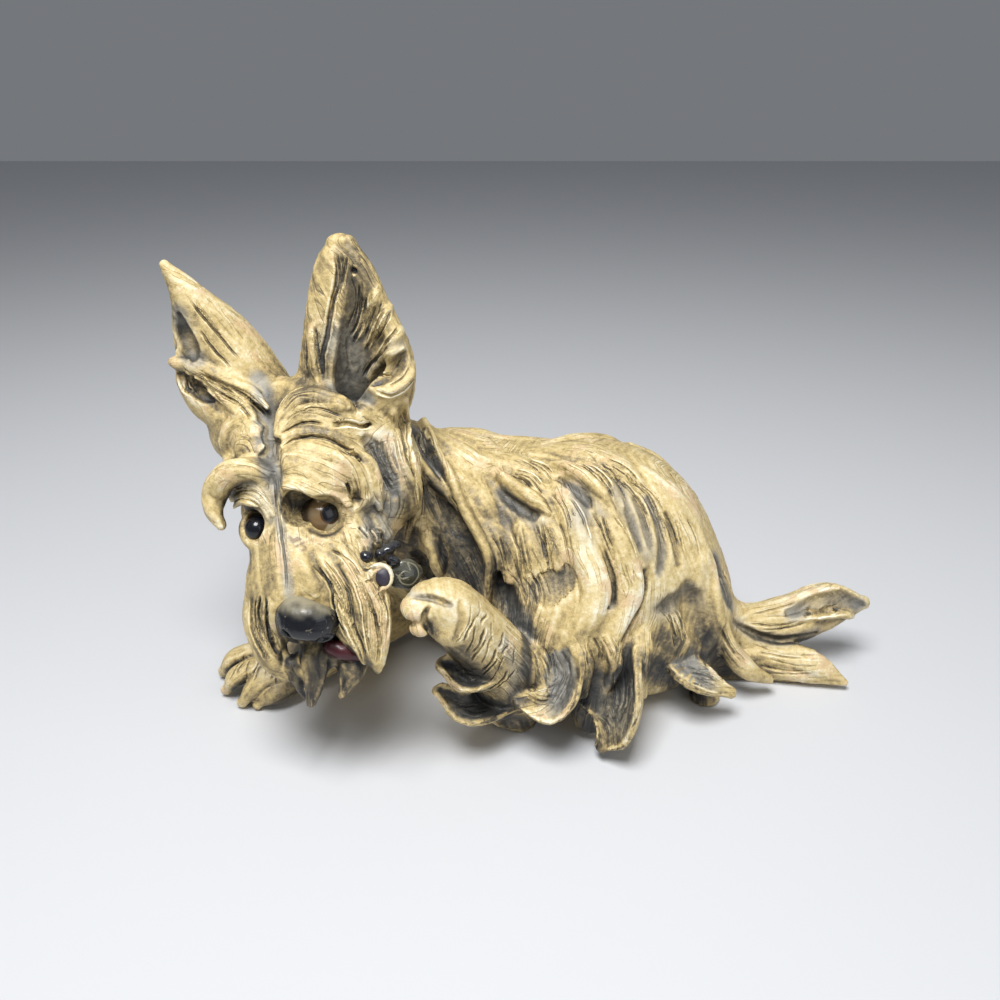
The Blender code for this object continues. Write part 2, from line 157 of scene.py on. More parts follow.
# %% Leaves
class Leaf:
    """A section carried along a curve, with strands combed along it."""

    def __init__(self, points, widths, depths, facing=NEAR, cup=0.0, strands=0, groove=0.5,
                 blend=2.0, cut=False, power=2.0, rings=0.0, name="", per=5):
        given = np.asarray(points, float)
        self.count = count = max(9, per * (len(given) - 1) + 1)
        self.path = curve(given, count)
        self.width, self.depth = spread(widths, count), spread(depths, count)
        self.cup = np.interp(np.linspace(0, 1, count), np.linspace(0, 1, np.size(cup)),
                             np.atleast_1d(cup))
        facing = np.asarray(facing, float)
        facing = np.tile(facing, (count, 1)) if facing.ndim == 1 else curve(facing, count)
        self.along = unit(np.gradient(self.path, axis=0))
        self.out = unit(facing - (facing * self.along).sum(1, keepdims=True) * self.along)
        self.side = np.cross(self.along, self.out)
        self.length = np.linalg.norm(np.diff(self.path, axis=0), axis=1).sum()
        self.strands, self.groove, self.rings = strands, groove, rings
        self.blend, self.cut, self.power, self.name = blend, cut, power, name
        self.phase = float(given.sum()) % 6.28
        reach = np.maximum(self.width, self.depth + np.abs(self.cup))[:, None]
        self.low, self.high = (self.path - reach).min(0), (self.path + reach).max(0)

    def nearest(self, points):
        """The nearest place on the path: segment, share of it, and distance."""
        start, step = self.path[:-1], np.diff(self.path, axis=0)
        size = (step**2).sum(1)
        seg = np.empty(len(points), np.int32)
        part = np.empty(len(points))
        gap = np.empty(len(points))
        for k in range(0, len(points), 60000):
            p = points[k:k + 60000]
            dot = p @ step.T - (start * step).sum(1)
            share = np.clip(dot / size, 0, 1)
            away = (p**2).sum(1)[:, None] - 2 * p @ start.T + (start**2).sum(1)
            away += share * (share * size - 2 * dot)
            pick = away.argmin(1)
            row = np.arange(len(p))
            seg[k:k + 60000], part[k:k + 60000] = pick, share[row, pick]
            gap[k:k + 60000] = np.sqrt(np.maximum(away[row, pick], 0))
        return seg, part, gap

    def near(self, points, margin):
        """True for points that may lie within the margin."""
        seg, _, gap = self.nearest(points)
        reach = np.maximum(self.width, self.depth + np.abs(self.cup))
        return gap < reach[seg] + margin

    def local(self, points):
        """Across, out, beyond the end, half-width, half-depth, cup and share of the way."""
        seg, part, _ = self.nearest(points)

        def at(rows):
            """A value between the path's samples."""
            mix = part[:, None] if rows.ndim > 1 else part
            return rows[seg] + (rows[seg + 1] - rows[seg]) * mix

        away = points - at(self.path)
        side, out, along = unit(at(self.side)), unit(at(self.out)), unit(at(self.along))
        return ((away * side).sum(1), (away * out).sum(1), (away * along).sum(1), at(self.width),
                at(self.depth), at(self.cup), (seg + part) / (self.count - 1))

    def distance(self, points, flow=False):
        """(f - 1) / |gradient of f|, f the superellipse radius; with flow also hair coordinates."""
        a, b, end, w, d, cup, s = self.local(points)
        slope = 2 * cup * a / w**2
        b = b - cup * np.minimum(np.abs(a) / w, 1.6) ** 2
        p = self.power
        u, v = np.abs(a) / w, np.abs(b) / d
        ring = np.maximum((u**p + v**p) ** (1 / p), 1e-4)
        steep = np.sqrt((u ** (p - 1) / w) ** 2 + (v ** (p - 1) / d) ** 2) / ring ** (p - 1)
        radius = np.minimum(w, d)
        f = np.sqrt(ring**2 + (end / radius) ** 2)
        g = np.sqrt((ring * steep) ** 2 + (end / radius**2) ** 2) / f
        gap = (f - 1) / np.maximum(g, 0.2 / np.maximum(w, d)) / np.sqrt(1 + np.minimum(slope**2, 4) * 0.5)
        turn = np.arctan2(b / d, a / w)
        if self.strands:
            wave = np.abs(np.sin(self.strands * turn * 0.5 + self.phase + 0.9 * np.sin(3 * math.pi * s)
                                 + 0.5 * np.sin(5 * s + self.phase)))
            fade = np.minimum(1, np.minimum(w, d) / 2.5) * np.sin(np.clip(s, 0.02, 0.98) * math.pi) ** 0.3
            gap = gap + self.groove * (1 - wave) ** 1.3 * fade
        if self.rings:
            wave = np.abs(np.sin(s * self.length / self.rings * math.pi + 1.2 * np.cos(turn + self.phase)
                                 + 0.4 * np.sin(3 * turn)))
            gap = gap + self.groove * (1 - wave) ** 1.5
        if flow:
            if self.rings:
                return gap, s * self.length + 4 * np.cos(turn + self.phase), turn * w
            return gap, turn * w * 0.8, s * self.length
        return gap


def melt(a, b, k):
    """Smooth union: the smaller distance, less (k - |a - b|)^2 / 4k where they come close."""
    h = np.maximum(k - np.abs(a - b), 0) / k
    return np.minimum(a, b) - h * h * k * 0.25


# %% [markdown]
# ## The clay
# Working out every form at every point of a fine grid would take minutes. A coarse grid finds out
# where the skin passes, and only those cells are filled with fine points. Each form then touches
# only the cells it can reach.


# %% The clay
class Clay:
    """A coarse grid of distances, and fine blocks of points in the cells that hold the skin."""

    def __init__(self, low, high):
        self.low = np.asarray(low, float)
        self.size = np.ceil((np.asarray(high) - self.low) / COARSE).astype(int) + 1
        self.coarse = np.full(self.size, 30.0)

    def press(self, form):
        """Add or cut one form on the coarse grid."""
        margin = max(form.blend, 6) + COARSE
        first = np.maximum(np.floor((form.low - margin - self.low) / COARSE).astype(int), 0)
        last = np.minimum(np.ceil((form.high + margin - self.low) / COARSE).astype(int) + 1, self.size)
        if (last <= first).any():
            return
        box = tuple(slice(a, b) for a, b in zip(first, last))
        lines = [self.low[k] + COARSE * np.arange(first[k], last[k]) for k in range(3)]
        points = np.stack(np.meshgrid(*lines, indexing="ij"), -1)
        gap = form.distance(points.reshape(-1, 3)).reshape(points.shape[:3])
        now = self.coarse[box]
        self.coarse[box] = -melt(-now, gap, form.blend) if form.cut else melt(now, gap, form.blend)

    def at(self, points):
        """The coarse distance at any point, between the eight grid points around it."""
        place = np.clip((np.asarray(points, float) - self.low) / COARSE, 0, self.size - 1.001)
        cell = place.astype(int)
        part = place - cell
        total = 0
        for corner in np.ndindex(2, 2, 2):
            share = np.prod(np.where(corner, part, 1 - part), -1)
            total = total + share * self.coarse[tuple(np.moveaxis(cell + corner, -1, 0))]
        return total

    def slope(self, points):
        """The direction in which the coarse distance grows."""
        points = np.asarray(points, float)
        return unit(np.stack([self.at(points + step) - self.at(points - step)
                              for step in 2.5 * np.eye(3)], -1))

    def refine(self, forms):
        """Fine distances in every coarse cell near the skin."""
        low = np.min([self.coarse[tuple(slice(c, n - 1 + c) for c, n in zip(corner, self.size))]
                      for corner in np.ndindex(2, 2, 2)], 0)
        high = np.max([self.coarse[tuple(slice(c, n - 1 + c) for c, n in zip(corner, self.size))]
                       for corner in np.ndindex(2, 2, 2)], 0)
        self.cells = np.argwhere((low < 2.4) & (high > -2.4))
        inner = np.stack(np.meshgrid(*[np.arange(SPLIT)] * 3, indexing="ij"), -1).reshape(-1, 3) * STEP
        corner = self.low + self.cells * COARSE
        centre = corner + COARSE / 2
        self.fine = np.full((len(self.cells), len(inner)), 30.0)
        for form in forms:
            margin = form.blend + COARSE
            box = ((centre > form.low - margin) & (centre < form.high + margin)).all(1)
            rows = np.flatnonzero(box)
            rows = rows[form.near(centre[rows], margin + 1)]
            if not len(rows):
                continue
            points = (corner[rows][:, None] + inner).reshape(-1, 3)
            gap = form.distance(points).reshape(len(rows), -1)
            now = self.fine[rows]
            self.fine[rows] = -melt(-now, gap, form.blend) if form.cut else melt(now, gap, form.blend)

    def dense(self):
        """One fine grid: the coarse sign everywhere, the fine distances near the skin."""
        count = (self.size - 1) * SPLIT
        grid = self.coarse[:-1, :-1, :-1].astype(np.float32)
        for axis in range(3):
            grid = np.repeat(grid, SPLIT, axis)
        blocks = grid.reshape(self.size[0] - 1, SPLIT, self.size[1] - 1, SPLIT, self.size[2] - 1, SPLIT)
        i, j, k = self.cells.T
        blocks[i, :, j, :, k, :] = self.fine.reshape(-1, SPLIT, SPLIT, SPLIT)
        return blocks.reshape(count)


# %% [markdown]
# ## The skin
# A surface net puts one point in every grid cell that the skin crosses, at the mean of the
# crossings on its edges, and joins the four cells around each crossed edge with a face. It gives
# even four-sided faces and no poles, which marching cubes would not.


# %% The skin
def surface_net(grid, origin, step):
    """Points and four-sided faces where the grid of distances changes sign."""
    inside = grid < 0
    shape = np.array(grid.shape) - 1
    count = np.zeros(shape, np.int8)
    corners = list(np.ndindex(2, 2, 2))
    for c in corners:
        count += inside[tuple(slice(a, a + n) for a, n in zip(c, shape))]
    cells = np.argwhere((count > 0) & (count < 8))
    index = np.full(shape, -1, np.int32)
    index[tuple(cells.T)] = np.arange(len(cells))
    values = np.stack([grid[tuple((cells + c).T)] for c in corners], 1).astype(float)
    total, crossings = np.zeros((len(cells), 3)), np.zeros(len(cells))
    for a, b in ((a, b) for a in range(8) for b in range(a + 1, 8)):
        step_ab = np.subtract(corners[b], corners[a])
        if np.abs(step_ab).sum() != 1:
            continue
        start, stop = values[:, a], values[:, b]
        crossed = (start < 0) != (stop < 0)
        share = np.where(crossed, start / np.where(crossed, start - stop, 1), 0)
        total += np.where(crossed[:, None], corners[a] + share[:, None] * step_ab, 0)
        crossings += crossed
    points = origin + step * (cells + total / crossings[:, None])
    faces = []
    for axis in range(3):
        u, v = (axis + 1) % 3, (axis + 2) % 3
        low, high = [slice(1, -1)] * 3, [slice(1, -1)] * 3
        low[axis], high[axis] = slice(0, grid.shape[axis] - 1), slice(1, grid.shape[axis])
        first, second = inside[tuple(low)], inside[tuple(high)]
        edge = np.argwhere(first != second)
        solid = first[tuple(edge.T)]
        edge[:, u] += 1
        edge[:, v] += 1
        du, dv = np.eye(3, dtype=int)[u], np.eye(3, dtype=int)[v]
        ring = np.stack([index[tuple((edge - du - dv).T)], index[tuple((edge - dv).T)],
                         index[tuple(edge.T)], index[tuple((edge - du).T)]], 1)
        ring[~solid] = ring[~solid][:, ::-1]
        faces.append(ring)
    return points, np.vstack(faces)


# %% [markdown]
# ## The trunk
# Under the hair are a few big masses: hindquarters, shoulder, belly, chest, neck and near thigh.

# %% The trunk's masses
trunk = [
    Egg((40, 4, 52), (62, 56, 58), blend=14),
    Egg((-12, 14, 62), (42, 45, 43), blend=18),
    Egg((74, -4, 30), (37, 43, 35), blend=18),
    Egg((32, -2, 20), (60, 52, 30), blend=14),
    Egg((-34, 20, 50), (24, 24, 34), blend=18),
    Egg((-52, 18, 60), (20, 24, 34), blend=14),
    Leaf([(-10, 8, 66), (-44, 0, 88), (-72, -14, 110)], [40, 34, 30], [36, 29, 28], blend=14),
    Egg((32, -40, 36), (30, 22, 30), blend=14),
    Egg((30, 44, 34), (32, 20, 30), blend=14),
]
trunk_clay = Clay((-110, -80, -4), (128, 82, 150))
for form in trunk:
    trunk_clay.press(form)
print("trunk masses:", len(trunk))

# %% [markdown]
# ## Laying locks on the trunk
# A lock is given by its track: places along the spine and angles around it. A ray from far outside
# walks inwards until it meets the trunk, and the lock is laid there, a little sunk, with its tip
# standing off. Locks on the far side mirror the near ones, a little lower.


# %% Laying locks
def on_trunk(track):
    """Skin points and outward directions at (along, angle) places, by walking rays inwards."""
    track = np.asarray(track, float)
    along, turn = track[:, 0], np.radians(track[:, 1])
    origin = np.stack([along, np.interp(along, SPINE_X, SPINE_Y), np.interp(along, SPINE_X, SPINE_Z)], 1)
    ray = np.stack([0 * turn, -np.sin(turn), np.cos(turn)], 1)
    reach = np.arange(6, 100, 0.5)
    gaps = trunk_clay.at(origin[:, None] + ray[:, None] * reach[:, None])
    last = len(reach) - 1 - np.argmax(gaps[:, ::-1] < 0, 1)
    found = origin + ray * reach[last][:, None]
    return found, trunk_clay.slope(found)


def ridge(laid, track, width, height, rise=0.0, ends=(0.4, 0.4), **more):
    """A ridge along a track: it swells to its half-width and half-height and dies away at its
    ends. laid finds the skin. With cut=True it is a valley."""
    track = np.asarray(track, float)
    places, normals = laid(curve(track, 2 * len(track) - 1))
    swell = np.interp(np.linspace(0, 1, len(places)), (0, 0.3, 0.75, 1), (ends[0], 1, 1, ends[1]))
    return Leaf(places + normals * rise, width * swell, height * swell, normals, per=3,
                **{"blend": 1.5, **more})


def lock(track, width, height, rise=1.0, tip=0.16, **more):
    """A lock of hair on the trunk; width and height are halves, rise lifts its tip."""
    places, normals = on_trunk(curve(track, 5))
    lift = rise * np.linspace(0, 1, 5) ** 1.5 - 0.35 * height
    return Leaf(places + normals * lift[:, None], width * np.array([0.45, 0.95, 1, 0.8, tip]),
                height * np.array([0.5, 0.9, 1, 0.85, 0.3]), normals,
                **{"strands": 5, "groove": 0.8, "blend": 1.5, **more})


def wave(track, width, height, *sizes, **more):
    """A ridge of hair on the trunk and its twin on the far side, a little lower."""
    twin = [(x, -turn - 12) for x, turn in track]
    return [ridge(on_trunk, track, width, height, *sizes, **more),
            ridge(on_trunk, twin, width, height, *sizes, **more)]


def line(laid, track, width=0.45, depth=1.0):
    """One narrow cut along a track: its path, half-width and depth."""
    places, normals = laid(curve(track, 2 * len(track) - 1))
    return Leaf(places, [3 * width, 3 * width], [4, 4], normals, per=2), width, depth


def fan(laid, first, last, count, width=0.45, depth=0.9):
    """Nicks spread between two tracks, each cut a little short at its ends."""
    first, last = curve(first, 7), curve(last, 7)
    made = []
    for number, share in enumerate(np.linspace(0, 1, count)):
        start, stop = 0.3 * (number * 7 % 5) / 5, 1 - 0.35 * (number * 11 % 7) / 7
        share = share + 0.35 / count * np.sin(np.linspace(0, 4, 7) + 2.1 * number)[:, None]
        track = curve(first * (1 - share) + last * share, 25)[int(24 * start):int(24 * stop) + 1:4]
        bold = 0.65 + 0.5 * (number * 13 % 8) / 7
        made.append(line(laid, track, width * bold, depth * bold))
    return made


# %% [markdown]
# ## The coat
# On the real figurine the hair is carved in broad waves. Rope-like ridges run from the ear down the
# mane with deep valleys between them, two clumps stand off the flank over a hollow, and long
# S-shaped waves run from the back over the thigh. A tool then scratched fine lines along them. The
# valleys are cut first, so that the ridges laid after them keep a sharp edge.

# %% The coat on the trunk
coat = (
    wave([(-37, 10), (-33, 15), (-27, 20)], 3, 2.6, cut=True, blend=2)
    + wave([(-30, 29), (-24, 35), (-16, 45), (-13, 57), (-12, 75)], 7, 5, cut=True, blend=6)
    + wave([(-36, 58), (-32, 69), (-28, 81)], 5, 6, cut=True, blend=3)
    + wave([(-4, 52), (-2, 62), (0, 71), (5, 80)], 5.5, 3.4, ends=(0.15, 0.5), cut=True, blend=5)
    + wave([(14, 69), (21, 64), (31, 56)], 3, 0.4, cut=True, blend=4)
    + wave([(0, 23), (8, 29), (17, 36)], 2.4, 1.6, cut=True, blend=2.5)
    + wave([(27, 21), (32, 25), (38, 29), (45, 34)], 2.4, 1.7, cut=True, blend=2.5)
    + wave([(24, 15), (27, 22), (29, 27)], 1.8, 1.3, cut=True, blend=2)
    + wave([(81, 57), (85, 70), (91, 88)], 6.5, 6.5, cut=True, blend=4)
    + wave([(68, 69), (75, 65), (83, 61)], 3.4, 3.6, cut=True, blend=3)
    + wave([(97, 33), (101, 49), (107, 74)], 3.5, 2.4, cut=True, blend=3)
    + wave([(-35, 2), (-29, 14), (-24, 20), (-19, 27), (-14, 35), (-8, 45), (-4, 54), (-4, 64), (-5, 80)],
           3, 6, 0.6, (0.6, 0.5), blend=1.4)
    + wave([(-39, 12), (-36, 20), (-30, 24), (-24, 27), (-18, 33)], 2.3, 3.2, blend=2)
    + wave([(-43, 19), (-40, 25), (-37, 28), (-35, 35), (-38, 42), (-40, 50)], 2.4, 4, blend=2)
    + wave([(-34, 42), (-30, 49), (-27, 57), (-26, 71)], 4.5, 6, strands=4, groove=0.8, blend=2)
    + wave([(24, 22), (29, 30), (32, 40), (35, 49), (39, 57), (40, 65), (36, 75), (30, 84)],
           6, 4.5, ends=(0.3, 0.5), blend=4)
    + wave([(36, 42), (38, 50), (42, 58), (44, 69)], 2.6, 0.7, cut=True, blend=3)
    + wave([(44, 46), (46, 56), (47, 67)], 2.2, 0.7, cut=True, blend=2.5)
    + wave([(39, 44), (42, 52), (44, 59), (45, 68)], 1.6, 2.4, blend=1.2)
    + wave([(40, 26), (44, 35), (49, 42), (52, 49), (55, 59), (53, 70), (48, 82)], 5.5, 4.5,
           ends=(0.3, 0.5), blend=4)
    + wave([(60, 53), (58, 62), (54, 73), (50, 82)], 2.4, 1.3, cut=True, blend=3)
    + wave([(52, 27), (56, 35), (58, 45)], 1.7, 0.7, cut=True, blend=2)
    + wave([(57, 24), (61, 32), (63, 43)], 1.7, 0.8, cut=True, blend=2)
    + wave([(63, 23), (68, 33), (69, 43), (67, 52)], 2.1, 1.2, cut=True, blend=2.4)
    + wave([(71, 26), (75, 36), (76, 47)], 1.7, 0.9, cut=True, blend=2)
    + wave([(66, 14), (76, 21), (84, 31), (88, 43), (88, 54)], 5, 2.4, blend=4)
    + wave([(83, 23), (88, 32), (92, 44), (94, 61), (97, 78)], 3.4, 4, ends=(0.2, 0.9), blend=2.5)
    + wave([(-6, 6), (6, 7), (16, 10), (26, 16)], 4, 2, blend=3)
    + wave([(-30, 8), (-22, 7), (-11, 11), (-2, 14)], 5, 3, blend=4)
    + wave([(-24, 17), (-16, 21), (-9, 28), (-5, 38)], 4.5, 2.6, blend=4)
    + wave([(20, -2), (33, 4), (46, 8), (58, 14)], 4, 2.4, blend=3)
    + wave([(62, 8), (73, 12), (84, 18), (91, 30)], 4, 2.2, blend=3)
    + wave([(-9, 40), (-2, 44), (2, 52), (3, 66)], 4, 2.4, blend=3)
    + wave([(8, 38), (11, 48), (12, 60)], 3.5, 1.8, blend=3)
    + wave([(17, 36), (22, 44), (24, 56)], 3, 2, blend=2.5)
)
coat += [
    ridge(on_trunk, [(-2, 15), (2, 18), (9, 23.5), (16, 28.5), (21, 34)], 3.6, 5, 0.6, (0.5, 0.3), blend=1.6),
    ridge(on_trunk, [(7, 13), (14, 18), (21, 26)], 3, 3, 0.2, blend=2),
    ridge(on_trunk, [(23, 11), (29, 14), (36, 19), (42, 25), (48, 33)], 3.4, 5, 0.6, (0.5, 0.3), blend=1.6),
    ridge(on_trunk, [(34, 12), (43, 18), (51, 29)], 3, 3, 0.2, blend=2),
]
coat.append(lock([(-27, -8), (-14, -4), (0, 0)], 8, 4, 1, strands=0))
coat.append(lock([(14, -3), (31, 0), (48, 9), (61, 16)], 9, 3, 1, strands=0))
for x in range(-20, 90, 18):
    coat.append(lock([(x, -72), (x + 5, -88), (x + 3, -104)], 7, 6, 3))
coat_nicks = (
    fan(on_trunk, [(21, 24), (26, 33), (29, 44), (31, 56)], [(29, 27), (34, 36), (37, 48), (39, 62)], 4, 0.45, 0.9)
    + fan(on_trunk, [(4, 7), (13, 11), (20, 20)], [(12, 6), (20, 12), (26, 23)], 4)
    + fan(on_trunk, [(-2, 15), (8, 18), (16, 28)], [(6, 12), (15, 17), (22, 31)], 4)
    + fan(on_trunk, [(30, 12), (38, 18), (46, 30)], [(36, 12), (44, 19), (50, 31)], 4, 0.5, 1.2)
    + fan(on_trunk, [(48, 17), (55, 22), (61, 29), (64, 38)], [(57, 15), (65, 19), (70, 26), (73, 38)], 6)
    + fan(on_trunk, [(39, 12), (48, 18), (55, 27)], [(46, 9), (56, 14), (63, 21)], 4)
    + fan(on_trunk, [(15, 38), (17, 45), (19, 53)], [(19, 36), (21, 44), (22, 52)], 3, 0.5, 0.9)
    + fan(on_trunk, [(-4, 43), (1, 54), (3, 72)], [(10, 38), (13, 52), (14, 66)], 6, 0.4, 0.7)
    + fan(on_trunk, [(8, 48), (11, 58), (13, 72)], [(24, 36), (27, 47), (30, 60)], 7, 0.4, 0.7)
    + fan(on_trunk, [(3, 60), (8, 68), (12, 77)], [(17, 56), (20, 65), (21, 74)], 6, 0.45, 0.8)
    + fan(on_trunk, [(-38, 9), (-34, 15), (-29, 20)], [(-34, 6), (-30, 13), (-25, 20)], 5, 0.5, 1.2)
    + fan(on_trunk, [(-30, 29), (-24, 35), (-18, 45), (-15, 60)], [(-24, 28), (-17, 36), (-10, 48), (-8, 60)], 4)
    + fan(on_trunk, [(-19, 20), (-15, 28), (-11, 36), (-6, 45)], [(-19, 23), (-15, 31), (-11, 39), (-7, 47)], 2,
          0.5, 1.4)
    + fan(on_trunk, [(38, 33), (42, 42), (47, 50)], [(50, 34), (54, 42), (58, 52)], 5, 0.4, 0.7)
    + fan(on_trunk, [(62, 25), (67, 33), (70, 45)], [(78, 24), (83, 33), (86, 46)], 7, 0.4, 0.7)
    + fan(on_trunk, [(95, 34), (98, 49), (100, 74)], [(103, 34), (108, 50), (112, 76)], 5, 0.5, 1)
    + fan(on_trunk, [(69, 70), (73, 78), (76, 90)], [(82, 68), (84, 79), (85, 90)], 7, 0.45, 1)
    + fan(on_trunk, [(27, 4), (36, 6), (43, 12)], [(32, -2), (43, 2), (53, 9)], 4, 0.4, 0.6)
    + fan(on_trunk, [(-45, 14), (-42, 26), (-39, 36), (-41, 50)], [(-38, 12), (-34, 24), (-31, 33), (-35, 46)], 6,
          0.5, 1.1)
    + fan(on_trunk, [(-20, -30), (-12, -60), (-16, -90)], [(80, -20), (86, -60), (78, -90)], 40, 0.5, 0.8)
)
print("ridges, valleys and locks on the trunk:", len(coat), "cuts:", len(coat_nicks))

# %% [markdown]
# ## The head's masses
# Under the folds are the skull, the brow, a long snout, the cheek, and the two halves of the
# moustache. The ears are thick leaves with a bowl carved out of the front.

# %% The head's masses
skull = [
    Egg((-74, -21, 109), (30, 36, 32), head=True, blend=12),
    Egg((-88, -17, 129), (35, 19, 21), head=True, blend=8),
    Egg((-68, -26, 130), (20, 17, 18), head=True, blend=6),
    Egg((-50, -28, 113), (17, 26, 18), head=True, blend=8),
    Leaf([(-105, -38, 114), (-88, -42, 120), (-67, -44, 119)], [9, 13, 13], [9, 11, 11], OUTFACE, blend=8),
    Leaf([(-84, -42, 111), (-81, -56, 91), (-80, -67, 78), (-78, -70, 71)], [17, 18, 17, 12],
         [17, 17, 16, 12], OUTFACE, blend=8),
    Leaf([(-72, -58, 76), (-70, -62, 62), (-70, -66, 52)], [14, 12, 6], [10, 8, 5], OUTFACE, blend=5),
    Egg((-62, -47, 91), (18, 20, 16), head=True, blend=8),
    Leaf([(-68, -58, 97), (-58, -72, 83), (-51, -82, 71), (-46, -90, 59)], [13, 14.5, 11, 1.6],
         [8, 9, 6.5, 2], OUTFACE, blend=6),
    Leaf([(-92, -64, 82), (-93, -72, 71), (-91, -79, 63), (-88, -82, 55), (-84, -84, 50)], [7, 7.5, 6, 4, 1.4],
         [7, 7, 5.5, 4, 2], OUTFACE, blend=4),
]
ears = [
    Leaf([(-62, -15, 130), (-58, -16, 152), (-60, -13, 177), (-61, -11, 193), (-61, -10, 201.5)],
         [20, 24, 17, 11.5, 6], [9, 9, 7.5, 5.5, 3.5], (-0.05, -0.98, 0.15), power=2.6, blend=4),
    Leaf([(-53, -27, 136), (-50, -28, 152), (-51, -25, 174), (-57, -20, 194)],
         [14, 17, 12, 3], [8, 10, 8, 3.5], (-0.42, -0.9, 0.1), blend=1.6, cut=True),
    Leaf([(-52, -26, 138), (-46, -27, 144), (-41, -26, 152), (-40, -23, 162), (-44, -19, 172)],
         [7, 8, 6.5, 4, 2.5], [6, 5, 4, 3, 2.5], (0.3, -0.9, 0.2), blend=4),
    Leaf([(-99, -18, 129), (-103, -16, 140), (-115, -13, 163), (-124, -11, 182), (-131, -10, 193)],
         [16, 19, 16.5, 7, 2], [6.5, 6.5, 6, 4.5, 2.5], (0.3, -0.85, 0.3), cup=(-8, -9, -8, -3, 0),
         power=2.2, blend=5),
    Leaf([(-112, -20, 130), (-119, -20, 140), (-124, -19, 151), (-127, -17, 160)],
         [5, 8, 7, 3], [6, 5, 4, 2.5], (0.3, -0.85, 0.3), cup=(-3, -3, -2, 0), blend=3),
]
head_base = skull + ears
head_clay = Clay((-150, -110, 10), (-10, 40, 216))
for form in head_base:
    head_clay.press(form)
print("masses of the head:", len(skull), "ear forms:", len(ears))

# %% [markdown]
# ## Laying folds and cuts on the head
# The sculptor models the face from the front, where it is looked at. A fold is given by marks on
# a plane in front of the face: millimetres to the right and up from a point between the eyes. From
# each mark a ray walks back to the skin, and the fold is laid there. A nick is a fold that cuts.


# %% Laying folds
def from_front(clay, at, right, up, out):
    """A way to lay marks: rays walk back from the plane through at, against out, to the skin."""
    at, right, up, out = (np.asarray(row, float) for row in (at, right, up, out))

    def laid(marks):
        """Skin points and outward directions behind the marks; a ray that misses stops nearest."""
        marks = np.asarray(marks, float)
        start = at + marks[:, :1] * right + marks[:, 1:2] * up
        reach = np.arange(45, -60, -0.5)
        gaps = clay.at(start[:, None] + out * reach[:, None])
        first = np.where((gaps < 0).any(1), np.argmax(gaps < 0, 1), np.argmin(gaps, 1))
        found = start + out * reach[first][:, None]
        return found, clay.slope(found)
    return laid


on_head = from_front(head_clay, HEAD_AT, FACE_X, FACE_Y, FACE_Z)


def ahead(right, up, out):
    """A point by its marks and its distance in front of the plane through the eyes."""
    return HEAD_AT + right * FACE_X + up * FACE_Y + out * FACE_Z


def ring(centre, radius, width, **more):
    """A round bead in the plane of the face, such as the rim of the fly's eye."""
    turn = np.linspace(0, 2 * math.pi, 13)[:, None]
    path = ahead(*centre) + radius * (np.cos(turn) * FACE_X + np.sin(turn) * FACE_Y)
    return Leaf(path, [width, width], [width, width], FACE_Z, per=3, **more)


def fold(marks, *sizes, **more):
    """A ridge laid along marks on the head."""
    return ridge(on_head, marks, *sizes, **more)


def nick(marks, width=0.45, depth=1.0):
    """A narrow cut on the head."""
    return line(on_head, marks, width, depth)


# %% [markdown]
# ## The face
# Concentric folds run round the near brow and end in a roll under the ear; a thick pad with a
# chipped lower edge overhangs the near eye, and a hook of hair curls round the far one. The
# sockets are cut after the pad, so its edge stays sharp.

